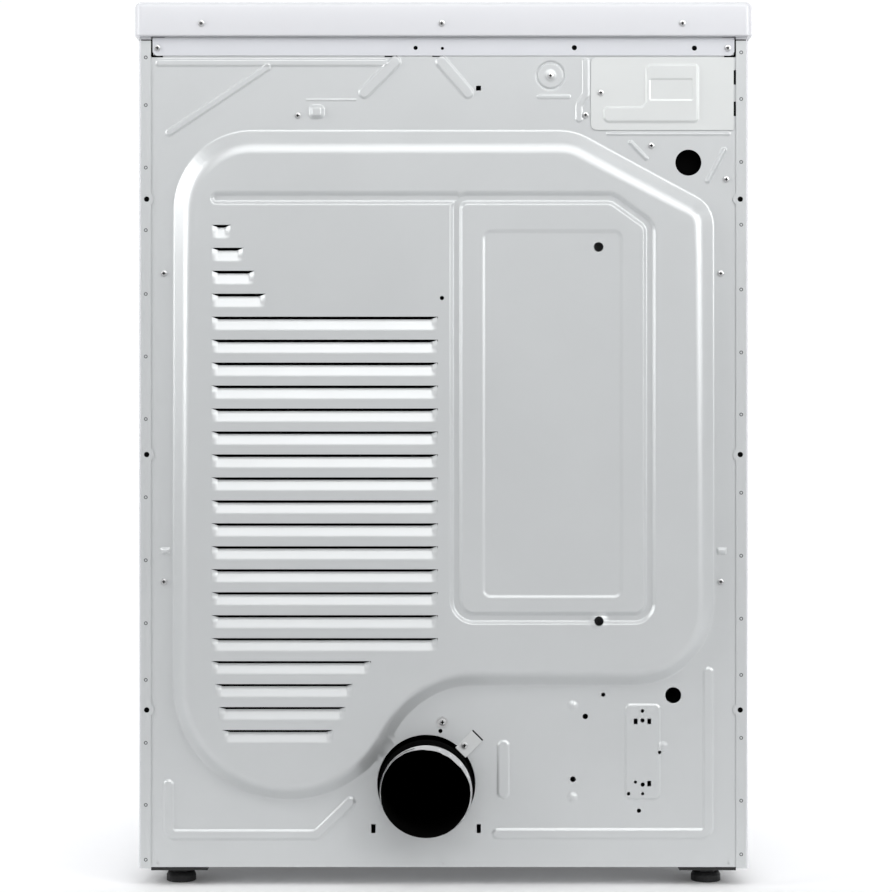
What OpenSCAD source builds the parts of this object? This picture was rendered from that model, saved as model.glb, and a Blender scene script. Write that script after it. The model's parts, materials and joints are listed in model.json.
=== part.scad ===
// Front-loading clothes dryer with a vented rear exhaust.
// +Z is up, the door faces -Y, and the origin is the middle of the footprint on the floor.

/* [Cabinet] */
// Width over the top panel
top_w = 686; // [660:1:700]
// Height over the top panel, feet screwed in
total_h = 983; // [960:1:1000]
// Width over the two side panels
body_w = 677; // [650:1:684]
// Front edge of the side panels, measured back from the middle
side_front = 322; // [300:1:330]
// Outer plane of the rear flanges, measured back from the middle
rear_plane = 345; // [335:1:350]
// Thickness of the cabinet sheet
sheet = 1; // [0.8:0.1:1.2]
// Height of the skirt around the top panel
top_skirt = 38; // [30:1:45]

/* [Rear panel] */
// How far the rear plateau stands proud of the panel
plateau_rise = 14; // [10:1:18]
// Half width of the plateau
plateau_half_w = 301.5; // [290:0.5:305]
// Height of the plateau's top edge
plateau_top = 842; // [830:1:850]
// Height of the plateau's bottom edge beside the exhaust
plateau_bottom = 223; // [215:1:235]
// Radius of the plateau's lower lobe
lobe_r = 130; // [120:1:135]
// Number of louvres
louvre_count = 23; // [10:1:23]
// Spacing of the louvres
louvre_pitch = 25.4; // [24:0.1:26]

/* [Exhaust and cord entry] */
// Sideways position of the exhaust pipe
exhaust_x = 19.1; // [15:0.1:25]
// Height of the exhaust pipe's axis
exhaust_z = 111.2; // [108:0.1:114]
// Outer radius of the exhaust pipe
exhaust_r = 50.8; // [50:0.1:52]
// Length of pipe that stands out of the rear panel
exhaust_out = 37.5; // [30:0.5:45]
// Radius of the hole where the supply cord enters
cord_r = 14.5; // [12:0.5:16]

/* [Drum] */
// Height of the drum's axis
drum_z = 550; // [545:1:555]
// Outer radius of the drum
drum_r = 316; // [310:1:318]
// Front end of the drum, measured forward from the middle
drum_front = 252; // [250:1:254]
// Rear end of the drum, measured back from the middle
drum_rear = 285; // [280:1:286]
// Radius of the door throat
throat_r = 205; // [200:1:206]

/* [Door] */
// Outer radius of the door
door_r = 255; // [250:1:256]
// Front of the door, measured forward from the middle
door_front = 382.5; // [375:0.5:385]
// Sideways position of the hinge pin
hinge_x = 266; // [265:1:270]
// Hinge pin, measured forward from the middle
hinge_y = 358; // [356:1:360]

/* [Running gear] */
// Sideways position of the motor shaft, left of the middle
motor_x = -120; // [-125:1:-115]
// Height of the motor shaft
motor_z = 130; // [128:1:135]
// Radius of the motor shaft
shaft_r = 6; // [5:0.5:6]
// Radius of the motor pulley where the belt lies
pulley_r = 9.5; // [9:0.5:10]
// Radius of the four drum rollers
roller_r = 30; // [28:1:31]
// Middle of the belt, measured back from the middle
belt_y = 45; // [44:1:46]

/* [Feet] */
// Sideways distance of the feet from the middle
foot_x = 296; // [290:1:298]
// Front feet, measured forward from the middle
foot_front = 285; // [280:1:290]
// Rear feet, measured back from the middle
foot_rear = 305; // [300:1:306]

/* [Hidden] */
$fn = 64;

eps = 0.5;
run_gap = 0.05;
side_x = body_w / 2;
side_in = side_x - sheet;
side_bottom = 20.5;
side_top = total_h - top_skirt;
rear_flange_w = 14;
rear_flange_top = 940.7;
inner_flange_w = 26;
panel_out = rear_plane - sheet;
panel_in = panel_out - sheet;
panel_half_w = 336;
panel_bottom = 22;
panel_top = 941;
pan_top = side_bottom + 2 * sheet;

// Holes in the rear flanges, at three heights on each side
flange_hole_x = 330;
flange_hole_z = [196.5, 480.5, 764.5];
flange_hole_r = 3;

// Plateau outline, as corners with a radius each; a negative radius is a hollow corner
lobe_x = plateau_half_w - lobe_r;
lobe_z = plateau_bottom + 2.7;
neck_r = 101.7;
neck_turn = 26.8;
neck_mid = [lobe_x - lobe_r * cos(neck_turn), lobe_z - lobe_r * sin(neck_turn)];
neck_dir = [sin(neck_turn), -cos(neck_turn)];
function on_neck(z) = neck_mid + neck_dir * (z - neck_mid[1]) / neck_dir[1];
plateau_corners = [
    [plateau_half_w, plateau_top, 89],
    [-146, plateau_top, 67],
    [-plateau_half_w, 757.5, 38],
    [-plateau_half_w, plateau_bottom, 90],
    [on_neck(plateau_bottom)[0], plateau_bottom, -neck_r],
    [on_neck(lobe_z - lobe_r)[0], lobe_z - lobe_r, lobe_r],
    [plateau_half_w, lobe_z - lobe_r, lobe_r]
];

// Stiffening groove: a closed loop on the right with a tail to the left
groove_w = 15;
groove_depth = 0.4;
loop_left = -6.7;
loop_right = -235.5;
loop_top = 772;
loop_bottom = 292;
tail_end = 258.5;
loop_corners = [
    [loop_left, loop_top, 19],
    [-189, loop_top, 22],
    [loop_right, 739, 22],
    [loop_right, loop_bottom, 24],
    [loop_left, loop_bottom, 28]
];
// Outer edge of the whole groove: the loop's own corners, then the tail
groove_corners = [
    [tail_end, loop_top, 6],
    loop_corners[1],
    loop_corners[2],
    loop_corners[3],
    loop_corners[4],
    [loop_left, loop_top - groove_w, 5],
    [tail_end, loop_top - groove_w, 6]
];

// Louvres: height of the first slit, ends of the rows, and the rows that meet the chamfer and lobe
louvre_top = 734.7;
louvre_left = 257.2;
louvre_slot = 9;
louvre_right = [234.4, 220.4, 208.2, 195.8];
louvre_mid_right = 5.8;
louvre_low_right = [80, 99.5, 107.7, 121.5];

// The pipe sits low in a wider hole
exhaust_hole_r = 54.6;
exhaust_drop = 3;

cord_x = -272.4;
cord_z = 805.2;
plug_holes = [[-171.7, 710.3, 5.3], [-172, 296.3, 5.2]];
low_hole = [-255.5, 212.8, 8.9];
cover_box = [[-322.8, 841], [-163.7, 922.3]];
terminal_window = [[-302, 856], [-206, 908]];

// Screws: along the top skirt, the brace, the side margins and the lower edge
skirt_screws = [[268.5, 958.6], [1.9, 958.6], [-265, 958.6]];
brace_screws = [[318, 932.4], [-316, 932.4]];
panel_screws = [
    [162, 857.6], [-158, 858], [-231, 824], [-314.4, 786.6], [310.7, 682], [-308.3, 682],
    [310.7, 339], [-308.3, 339], [1.2, 183]
];
cover_screw = [-174.8, 882.6];
clip_screw = [-23.3, 157.2];
screw_r = 4.2;
shank_r = 1.8;

front_face = 330;
fascia_front = 352;
fascia_bottom = 838;
fascia_wall = 2.5;
bulk_front = 262;
bulk_rear = 305;
bulk_sheet = 1.2;
bulk_bottom = 232;
bulk_top = 868;
filter_front = 292;
filter_rear = 268;
filter_half_w = 90;
filter_bottom = 150;
collar_front_r = 227.2;
collar_rear_r = 287.2;
blower_rear = 172;
duct_wall = 0.8;
roller_angle = 33;
roller_reach = drum_r + roller_r + 0.4;
roller_x = roller_reach * sin(roller_angle);
roller_z = drum_z - roller_reach * cos(roller_angle);
axle_r = 6;
front_roller_y = -225;
rear_roller_y = 252;
roller_w = 20;
idler = [-175, 165];
idler_r = 20;
pivot = [-219, 220];
knob_at = [-60, 891];
knob_shaft_r = 4;
display_box = [[20, 882], [190, 926]];
button_travel = 1.2;
power_at = [-250, 891];
start_at = [262, 891];
temperature_at = [65, 862];
dryness_at = [145, 862];
board_face = 336;

// ---- shared shapes ----

// A flat shape in the XZ plane, given thickness from y0 to y1
module slab(y0, y1) {
    translate([0, y1, 0]) rotate([90, 0, 0]) linear_extrude(y1 - y0) children();
}

// A round bar along Y
module rod_y(x, z, r, y0, y1) {
    translate([x, y0, z]) rotate([-90, 0, 0]) cylinder(r = r, h = y1 - y0);
}

// A profile of [radius, y] points turned about an axis along Y
module turned_y(x, z, profile) {
    translate([x, 0, z]) rotate([-90, 0, 0]) rotate_extrude($fn = 128) polygon(profile);
}

// A box from its low corner to its high corner
module block(lo, hi) {
    translate(lo) cube(hi - lo);
}

// The four corners of a rectangle, all with one radius
function box_corners(lo, hi, r) = [
    [lo[0], lo[1], r], [hi[0], lo[1], r], [hi[0], hi[1], r], [lo[0], hi[1], r]
];

function unit(v) = v / norm(v);
function flat(p) = [p[0], p[1]];

// Points along the arc that rounds corner b between a and c
function corner_arc(a, b, c, r, steps = 10) =
    let (
        u = unit(a - b),
        v = unit(c - b),
        half = acos(u * v) / 2,
        centre = b + unit(u + v) * r / sin(half),
        start = b + u * r / tan(half) - centre,
        turn = (180 - 2 * half) * sign(u[0] * v[1] - u[1] * v[0]),
        from = atan2(start[1], start[0])
    )
    [for (i = [0:steps]) centre + r * [cos(from - turn * i / steps), sin(from - turn * i / steps)]];

// A closed outline through rounded corners
function rounded(corners) =
    let (n = len(corners))
    [
        for (i = [0:n - 1])
            for (p = corner_arc(
                flat(corners[(i + n - 1) % n]), flat(corners[i]), flat(corners[(i + 1) % n]),
                abs(corners[i][2])
            )) p
    ];

// The same corners moved inward by d (outward if d is negative)
function inset(corners, d) =
    let (
        n = len(corners),
        way = turning(corners)
    )
    [
        for (i = [0:n - 1])
            let (
                b = flat(corners[i]),
                u = unit(flat(corners[(i + n - 1) % n]) - b),
                v = unit(flat(corners[(i + 1) % n]) - b),
                side = sign(u[0] * v[1] - u[1] * v[0]) * way,
                half = acos(u * v) / 2,
                r = corners[i][2]
            )
            concat(b + side * unit(u + v) * d / sin(half), r > 0 ? max(r - d, 0.5) : r - d)
    ];

// +1 if the corners run clockwise in the XZ plane, -1 if not
function turning(corners) =
    let (n = len(corners))
    sign([for (i = [0:n - 1])
        let (a = corners[i], b = corners[(i + 1) % n]) b[0] * a[1] - a[0] * b[1]
    ] * [for (i = [0:n - 1]) 1]);

// A pan-head screw whose head rests on a face at y
module screw(x, z, y) {
    rod_y(x, z, screw_r, y, y + 2.4);
    rod_y(x, z, shank_r, y - 8, y);
}

// ---- cabinet ----

module top_panel() {
    color("whitesmoke") {
        difference() {
            block([-top_w / 2, -side_front - 23, side_top], [top_w / 2, rear_plane + 7, total_h]);
            block(
                [-top_w / 2 + sheet, -side_front - 22, side_top + sheet],
                [top_w / 2 - sheet, rear_plane + 6, total_h - sheet]
            );
            block(
                [-side_x + inner_flange_w, -side_front + 4, side_top - eps],
                [side_x - inner_flange_w, rear_plane - 20, side_top + sheet + eps]
            );
        }
    }
}

// The right side panel; the left one is its mirror image
module side_panel() {
    difference() {
        union() {
            block([side_in, -side_front, side_bottom], [side_x, rear_plane, side_top]);
            block(
                [side_x - rear_flange_w, panel_out, side_bottom],
                [side_x, rear_plane, rear_flange_top]
            );
            block(
                [side_x - 18, -side_front, side_bottom],
                [side_x, -side_front + sheet, side_top]
            );
            block(
                [side_x - inner_flange_w, -side_front, side_bottom],
                [side_x, rear_plane, side_bottom + sheet]
            );
            block(
                [side_x - inner_flange_w, -side_front, side_top - sheet],
                [side_x, rear_plane, side_top]
            );
        }
        flange_holes(1);
    }
}

// The three holes of one rear flange
module flange_holes(side) {
    for (z = flange_hole_z) {
        rod_y(side * flange_hole_x, z, flange_hole_r, panel_in - eps, rear_plane + eps);
    }
}

module right_side_panel() {
    color("white") side_panel();
}

module left_side_panel() {
    color("white") mirror([1, 0, 0]) side_panel();
}

module base_pan() {
    half_w = side_in - 1;
    low = side_bottom + sheet;
    color("silver") difference() {
        block([-half_w, -side_front + 2, low], [half_w, panel_in, low + 30]);
        block(
            [-half_w + sheet, -side_front + 2 + sheet, low + sheet],
            [half_w - sheet, panel_in - sheet, low + 31]
        );
        for (x = [-foot_x, foot_x], y = [-foot_front, foot_rear]) {
            translate([x, y, low - eps]) cylinder(r = 13, h = 2);
        }
    }
}

// ---- rear ----

// Right-hand end of louvre i
function louvre_end(i) =
    i < 4 ? louvre_right[i]
    : i < 19 ? louvre_mid_right
    : louvre_low_right[i - 19];

// The open slot of louvre i, and the lip that leans inward from its lower edge
module louvre_slot(i) {
    z = louvre_top - i * louvre_pitch;
    block(
        [louvre_end(i) + 5, panel_out, z - louvre_slot],
        [louvre_left - 5, panel_out + plateau_rise + eps, z]
    );
}

module louvre_lip(i) {
    z = louvre_top - i * louvre_pitch;
    y = panel_out + plateau_rise;
    slope = [[y, z - louvre_slot], [y - sheet, z - louvre_slot - 1], [y - 7, z - 2.5], [y - 6, z - 2.5]];
    translate([louvre_end(i) + 5, 0, 0])
        rotate([90, 0, 90])
            linear_extrude(louvre_left - louvre_end(i) - 10) polygon(slope);
}

module rear_panel() {
    top_y = panel_out + plateau_rise;
    color("lightgray") difference() {
        union() {
            difference() {
                block([-panel_half_w, panel_in, panel_bottom], [panel_half_w, panel_out, panel_top]);
                slab(panel_in - eps, panel_out + eps) polygon(rounded(inset(plateau_corners, sheet)));
            }
            difference() {
                slab(panel_in, top_y) polygon(rounded(plateau_corners));
                slab(panel_in - eps, top_y - sheet) polygon(rounded(inset(plateau_corners, sheet)));
                slab(top_y - groove_depth, top_y + eps) groove_shape();
                for (i = [0:louvre_count - 1]) {
                    louvre_slot(i);
                }
            }
            for (i = [0:louvre_count - 1]) {
                louvre_lip(i);
            }
        }
        flange_holes(1);
        flange_holes(-1);
        rod_y(cord_x, cord_z, cord_r, panel_in - eps, panel_out + eps);
        rod_y(exhaust_x, exhaust_z + exhaust_drop, exhaust_hole_r, panel_in - eps, panel_out + eps);
        rod_y(low_hole[0], low_hole[1], low_hole[2], panel_in - eps, panel_out + eps);
        for (hole = plug_holes) {
            rod_y(hole[0], hole[1], hole[2], top_y - 4, top_y + eps);
        }
        block(
            [terminal_window[0][0], panel_in - eps, terminal_window[0][1]],
            [terminal_window[1][0], panel_out + eps, terminal_window[1][1]]
        );
    }

    module groove_shape() {
        difference() {
            polygon(rounded(groove_corners));
            polygon(rounded(inset(loop_corners, groove_w)));
        }
    }
}

module rear_top_brace() {
    color("lightgray") {
        block([-324, panel_out, 924], [324, rear_plane, side_top - sheet]);
        block([-310, rear_plane - 45, side_top - sheet], [310, rear_plane, side_top]);
    }
}

module terminal_cover() {
    lo = cover_box[0];
    hi = cover_box[1];
    color("gainsboro") {
        slab(panel_out, rear_plane) polygon(rounded(box_corners(lo, hi, 6)));
        slab(rear_plane, rear_plane + 4) polygon([
            [-282, 850], [-179, 850], [-179, 868], [-225, 868], [-225, 914], [-282, 914]
        ]);
    }
}

module terminal_block() {
    color("ivory") difference() {
        block([-312, panel_in - 24, 862], [-196, panel_in, 902]);
        for (i = [-1:1]) {
            block([-262 + i * 30, panel_in - 14, 868], [-246 + i * 30, panel_in + eps, 896]);
        }
    }
}

module heater_duct() {
    color("silver") difference() {
        block([-215, bulk_rear + bulk_sheet, 330], [-60, 352, 620]);
        block([-214, bulk_rear, 331], [-61, 351, 619]);
        for (i = [0:5]) {
            block([-200 + i * 22, bulk_rear + 8, 329], [-188 + i * 22, 345, 332]);
        }
    }
}

module heater_coil() {
    rod_r = 3;
    rows = 8;
    step = 32;
    first = 365;
    mid_y = 329;
    color("dimgray") {
        for (i = [0:rows - 1]) {
            reach = i == 0 || i == rows - 1 ? -61 : -75;
            translate([-200, mid_y, first + i * step])
                rotate([0, 90, 0]) cylinder(r = rod_r, h = reach + 200);
        }
        for (i = [0:rows - 2]) {
            x = i % 2 == 0 ? -200 : -78;
            translate([x, mid_y, first + i * step]) cylinder(r = rod_r, h = step);
        }
    }
}

module exhaust_duct() {
    end = panel_out + 1 + exhaust_out;
    color("silver") difference() {
        union() {
            rod_y(exhaust_x, exhaust_z, exhaust_r, -blower_rear, end);
            rod_y(exhaust_x, exhaust_z, exhaust_r + 1.7, rear_plane - 0.7, rear_plane + 1.3);
        }
        rod_y(exhaust_x, exhaust_z, exhaust_r - duct_wall, -blower_rear - eps, end + eps);
    }
}

module exhaust_clip() {
    reach = exhaust_r + 2.2;
    color("silver")
        translate([exhaust_x, 0, exhaust_z]) rotate([0, -45, 0])
            block([-8, panel_out, reach], [8, panel_out + 1.2, reach + 28]);
}

module rear_screws() {
    color("darkgray") {
        for (p = skirt_screws) {
            screw(p[0], p[1], rear_plane + 7);
        }
        for (p = brace_screws) {
            screw(p[0], p[1], rear_plane);
        }
        for (p = panel_screws) {
            screw(p[0], p[1], panel_out);
        }
        screw(cover_screw[0], cover_screw[1], rear_plane);
        screw(clip_screw[0], clip_screw[1], panel_out + 1.2);
    }
}

// ---- front ----

module front_panel() {
    back = -side_front;
    color("white") difference() {
        block([-side_x + eps, -front_face, 24], [side_x - eps, back, fascia_bottom - 2]);
        block(
            [-side_x + eps + sheet, -front_face + sheet, 24 + sheet],
            [side_x - eps - sheet, back + eps, fascia_bottom - 2 - sheet]
        );
        rod_y(0, drum_z, throat_r, -front_face - eps, -front_face + sheet + eps);
        block([-238, -front_face - eps, drum_z - 18], [-226, -front_face + sheet + eps, drum_z + 18]);
    }
}

module control_fascia() {
    inner = -fascia_front + fascia_wall;
    color("whitesmoke") difference() {
        union() {
            difference() {
                block(
                    [-top_w / 2 + 2, -fascia_front, fascia_bottom],
                    [top_w / 2 - 2, -side_front, side_top - eps]
                );
                block(
                    [-top_w / 2 + 2 + fascia_wall, inner, fascia_bottom + fascia_wall],
                    [top_w / 2 - 2 - fascia_wall, -side_front + eps, side_top - eps - fascia_wall]
                );
            }
            rod_y(knob_at[0], knob_at[1], 9, inner - eps, inner + 8);
        }
        rod_y(knob_at[0], knob_at[1], knob_shaft_r + run_gap, -fascia_front - eps, inner + 9);
        slab(-fascia_front - eps, inner + eps)
            polygon(rounded(box_corners(display_box[0], display_box[1], 4)));
        round_button_hole(power_at, 13);
        round_button_hole(start_at, 16);
        bar_button_hole(temperature_at);
        bar_button_hole(dryness_at);
    }

    module round_button_hole(at, r) {
        rod_y(at[0], at[1], r + eps, -fascia_front - eps, inner + eps);
    }
    module bar_button_hole(at) {
        block([at[0] - 24.5, -fascia_front - eps, at[1] - 6.5], [at[0] + 24.5, inner + eps, at[1] + 6.5]);
    }
}

// Outline of a bar-shaped button, made smaller by d
function bar_outline(at, d) =
    rounded(inset(box_corners([at[0] - 24, at[1] - 6], [at[0] + 24, at[1] + 6], 5.5), d));

module display_window() {
    inner = -fascia_front + fascia_wall;
    lo = display_box[0];
    hi = display_box[1];
    color("black") {
        slab(-fascia_front, inner) polygon(rounded(box_corners(lo, hi, 4)));
        slab(inner, inner + 1.5) polygon(rounded(box_corners(lo - [4, 4], hi + [4, 4], 4)));
    }
}

module control_board() {
    inner = -fascia_front + fascia_wall;
    color("darkgreen") {
        block([-275, -board_face, 852], [290, -board_face + 1.6, 936]);
        for (x = [-268, 210], z = [858, 930]) {
            rod_y(x, z, 3, inner, -board_face);
        }
    }
}

module round_button(at, r) {
    inner = -fascia_front + fascia_wall;
    rod_y(at[0], at[1], r, -fascia_front - 3, inner + 2.5);
    rod_y(at[0], at[1], r + 3, inner + 1.2, inner + 2.5);
    rod_y(at[0], at[1], 2.5, inner + 2.5, -board_face - button_travel - 0.3);
}

module bar_button(at) {
    inner = -fascia_front + fascia_wall;
    slab(-fascia_front - 3, inner + 2.5) polygon(bar_outline(at, 0));
    slab(inner + 1.2, inner + 2.5) polygon(bar_outline(at, -2));
    rod_y(at[0], at[1], 2.5, inner + 2.5, -board_face - button_travel - 0.3);
}

module power_button() {
    color("silver") round_button(power_at, 13);
}

module start_button() {
    color("silver") round_button(start_at, 16);
}

module temperature_button() {
    color("silver") bar_button(temperature_at);
}

module dryness_button() {
    color("silver") bar_button(dryness_at);
}

module cycle_knob() {
    color("silver") difference() {
        union() {
            turned_y(knob_at[0], knob_at[1], [
                [0, -378], [24, -378], [27, -375], [28, -360], [32, -357], [32, -353], [0, -353]
            ]);
            rod_y(knob_at[0], knob_at[1], knob_shaft_r, -353.5, -board_face - 2);
        }
        block([knob_at[0] - 1, -379, knob_at[1] + 12], [knob_at[0] + 1, -377, knob_at[1] + 23]);
    }
}

module front_bulkhead() {
    collar_back = -drum_front + 20;
    color("silver") difference() {
        union() {
            difference() {
                block([-side_in, -bulk_front, bulk_bottom], [side_in, -bulk_front + bulk_sheet, bulk_top]);
                rod_y(0, drum_z, throat_r, -bulk_front - eps, -bulk_front + 2);
            }
            tube_y(throat_r + bulk_sheet, throat_r, -front_face + sheet, -bulk_front + eps);
            tube_y(collar_front_r, collar_front_r - bulk_sheet, -bulk_front + eps, collar_back);
        }
        block(
            [-filter_half_w - 1.5, -filter_front - 2, drum_z - throat_r - 10],
            [filter_half_w + 1.5, -filter_rear + 2, drum_z - throat_r + 40]
        );
        for (i = [-3:3]) {
            translate([0, 0, drum_z]) rotate([0, 5.2 * i, 0])
                block([-7, -bulk_front - eps, -throat_r - 17], [7, -bulk_front + 2, -throat_r - 4]);
        }
    }
}

// A tube around the drum's axis
module tube_y(outer, inner, y0, y1) {
    difference() {
        rod_y(0, drum_z, outer, y0, y1);
        rod_y(0, drum_z, inner, y0 - eps, y1 + eps);
    }
}

module rear_bulkhead() {
    color("silver") difference() {
        union() {
            block([-side_in, bulk_rear, bulk_bottom], [side_in, bulk_rear + bulk_sheet, bulk_top]);
            tube_y(collar_rear_r, collar_rear_r - bulk_sheet, drum_rear - 10, bulk_rear + eps);
        }
        for (i = [0:23], r = [70, 150]) {
            translate([0, 0, drum_z]) rotate([0, i * 15, 0])
                block([-3, bulk_rear - eps, r], [3, bulk_rear + 2, r + 60]);
        }
    }
}

module drum_felt_seals() {
    color("gray") {
        tube_y(collar_front_r + 4.2, collar_front_r, -drum_front + 2, -drum_front + 18);
        tube_y(collar_rear_r + 4.2, collar_rear_r, drum_rear - 8, drum_rear + 8);
    }
}

module lint_duct() {
    color("gray") difference() {
        block([-200, -filter_front - 4, 60], [130, -bulk_front, drum_z - throat_r - 3]);
        block([-198, -filter_front - 2, 62], [128, -bulk_front - 2, drum_z - throat_r - 5]);
        block(
            [-filter_half_w - 1.5, -filter_front - 2, drum_z - throat_r - 10],
            [filter_half_w + 1.5, -filter_rear + 2, drum_z - throat_r]
        );
        rod_y(motor_x, motor_z, 50, -bulk_front - 3, -bulk_front + eps);
        block(
            [-70, -bulk_front - 3, drum_z - throat_r - 24],
            [70, -bulk_front + eps, drum_z - throat_r - 5]
        );
    }
}

module lint_filter() {
    edge = 4;
    rim_z = drum_z - throat_r - 12;
    color("lightgray") {
        difference() {
            block([-filter_half_w, -filter_front, rim_z], [filter_half_w, -filter_rear, rim_z + 36]);
            rod_y(0, drum_z, throat_r, -filter_front - eps, -filter_rear + eps);
            block([-30, -filter_front + 5, rim_z + 4], [30, -filter_rear - 5, rim_z + 40]);
        }
        difference() {
            block([-filter_half_w, -filter_front, filter_bottom], [filter_half_w, -filter_rear, rim_z]);
            block(
                [-filter_half_w + edge, -filter_front + 1, filter_bottom + edge],
                [filter_half_w - edge, -filter_rear - 1, rim_z - edge]
            );
            for (i = [0:6]) {
                block(
                    [-filter_half_w + 8 + i * 24, -filter_front - eps, filter_bottom + 12],
                    [-filter_half_w + 28 + i * 24, -filter_rear + eps, rim_z - 12]
                );
            }
        }
        for (y = [-filter_front, -filter_rear - 0.5]) {
            block([-filter_half_w + 4, y, filter_bottom + 8], [filter_half_w - 4, y + 0.5, rim_z - 8]);
        }
    }
}

module moisture_sensors() {
    color("silver") {
        for (side = [-1, 1]) {
            translate([0, 0, drum_z]) rotate([0, side * 33, 0])
                block([-4, -filter_front, -throat_r + 0.1], [4, -filter_rear, -throat_r + 3]);
        }
    }
}

module door_latch() {
    color("dimgray") difference() {
        block([-246, -front_face + sheet, drum_z - 26], [-216, -front_face + 30, drum_z + 26]);
        block([-238, -front_face, drum_z - 18], [-226, -front_face + 27, drum_z + 18]);
    }
}

module hinge_plate() {
    color("silver") {
        block([hinge_x - 30, -front_face - 3, drum_z - 80], [hinge_x + 30, -front_face, drum_z + 80]);
        for (z = [drum_z - 72, drum_z + 60]) {
            translate([hinge_x, -hinge_y, z]) cylinder(r = 9, h = 12);
            block([hinge_x - 9, -hinge_y, z], [hinge_x + 9, -front_face - 3, z + 12]);
        }
        translate([hinge_x, -hinge_y, drum_z - 72]) cylinder(r = 4, h = 144);
    }
}

// ---- door ----

module door_outer_frame() {
    f = -door_front;
    color("silver") difference() {
        turned_y(0, drum_z, [
            [190, f + 9], [196, f + 2.5], [225, f], [door_r - 9, f + 2.5], [door_r, f + 12.5],
            [door_r, f + 40], [door_r - 3, f + 40], [door_r - 3, f + 14.5], [door_r - 11, f + 5.5],
            [225, f + 3], [198, f + 5.5], [193, f + 10.5], [193, f + 30.5], [190, f + 30.5]
        ]);
        block([235, -hinge_y, drum_z - 47], [door_r + 5, f + 45, drum_z + 47]);
    }
}

module door_outer_window() {
    f = -door_front;
    color("black") turned_y(0, drum_z, [
        [0, f + 4.5], [150, f + 6.5], [190, f + 10.5], [190, f + 13.5], [150, f + 9.5], [0, f + 7.5]
    ]);
}

module door_inner_frame() {
    f = -door_front + 30.5;
    color("whitesmoke") turned_y(0, drum_z, [
        [178, f], [door_r - 3.5, f], [door_r - 3.5, f + 10], [door_r - 15, f + 12],
        [190, f + 12], [178, f + 9]
    ]);
}

module door_glass_bowl() {
    f = -door_front + 30.5;
    color("lightblue", 0.4) turned_y(0, drum_z, [
        [178, f], [178, f + 14], [172, f + 27], [150, f + 50], [120, f + 52], [0, f + 52],
        [0, f + 48], [118, f + 48], [147, f + 46], [168, f + 25], [174, f + 12], [174, f]
    ]);
}

module door_seal() {
    f = -door_front + 42.5;
    color("dimgray") tube_y(222, 214, f, -front_face - 0.4);
}

module door_hinge_arm() {
    f = -door_front + 30.5;
    color("silver") difference() {
        union() {
            translate([hinge_x, -hinge_y, drum_z - 58]) cylinder(r = 9, h = 116);
            block([205, f - 4, drum_z - 45], [hinge_x - 7, f, drum_z + 45]);
        }
        translate([hinge_x, -hinge_y, drum_z - 60]) cylinder(r = 4 + run_gap, h = 120);
    }
}

module door_strike() {
    f = -door_front + 42.5;
    color("silver") difference() {
        block([-235, f, drum_z - 10], [-229, f + 24, drum_z + 10]);
        block([-236, f + 13, drum_z - 5], [-228, f + 20, drum_z + 5]);
    }
}

// ---- drum and drive ----

module drum_shell() {
    f = -drum_front;
    b = drum_rear;
    lip_f = collar_front_r + 4.8;
    lip_b = collar_rear_r + 4.8;
    color("silver") turned_y(0, drum_z, [
        [lip_f, f + 3], [lip_f + 1, f + 3], [lip_f + 1, f + 11], [drum_r, f + 11], [drum_r, b],
        [lip_b + 1, b], [lip_b + 1, b + 8], [lip_b, b + 8], [lip_b, b - 1], [drum_r - 1, b - 1],
        [drum_r - 1, f + 12], [lip_f, f + 12]
    ]);
}

module drum_baffles() {
    inner_r = drum_r - 1;
    crest = inner_r - 40;
    color("silver")
        for (i = [0:2]) {
            translate([0, 0, drum_z]) rotate([0, i * 120, 0])
                slab(-drum_front + 25, drum_rear - 15)
                    intersection() {
                        polygon([[-32, inner_r + 2], [-13, crest], [13, crest], [32, inner_r + 2]]);
                        circle(r = inner_r);
                    }
        }
}

module drive_belt() {
    color("black") slab(belt_y - 4, belt_y + 4)
        difference() {
            belt_loop(2.8);
            belt_loop(0.3);
        }

    module belt_loop(gap) {
        hull() {
            translate([0, drum_z]) circle(r = drum_r + gap, $fn = 180);
            translate([motor_x, motor_z]) circle(r = pulley_r + gap, $fn = 36);
            translate(idler) circle(r = idler_r + gap, $fn = 36);
        }
    }
}

module motor_stator() {
    color("dimgray") difference() {
        rod_y(motor_x, motor_z, 55, -150, -10);
        rod_y(motor_x, motor_z, 38, -140, -20);
        rod_y(motor_x, motor_z, shaft_r + run_gap, -151, -9);
    }
}

module motor_rotor() {
    color("silver") {
        rod_y(motor_x, motor_z, shaft_r, -250, 60);
        rod_y(motor_x, motor_z, 37, -130, -30);
    }
}

module motor_pulley() {
    color("gray") difference() {
        turned_y(motor_x, motor_z, [
            [0, belt_y - 9], [13, belt_y - 9], [13, belt_y - 6], [pulley_r, belt_y - 5],
            [pulley_r, belt_y + 5], [13, belt_y + 6], [13, belt_y + 9], [0, belt_y + 9]
        ]);
        rod_y(motor_x, motor_z, shaft_r, belt_y - 10, belt_y + 10);
    }
}

module blower_wheel() {
    color("gray") {
        difference() {
            union() {
                rod_y(motor_x, motor_z, 70, -195, -192);
                rod_y(motor_x, motor_z, 14, -245, -192);
            }
            rod_y(motor_x, motor_z, shaft_r, -246, -191);
        }
        difference() {
            rod_y(motor_x, motor_z, 70, -250, -247);
            rod_y(motor_x, motor_z, 50, -251, -246);
        }
        for (i = [0:23]) {
            translate([motor_x, 0, motor_z]) rotate([0, i * 15, 0])
                block([52, -248, -1], [68, -194, 1]);
        }
    }
}

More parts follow.
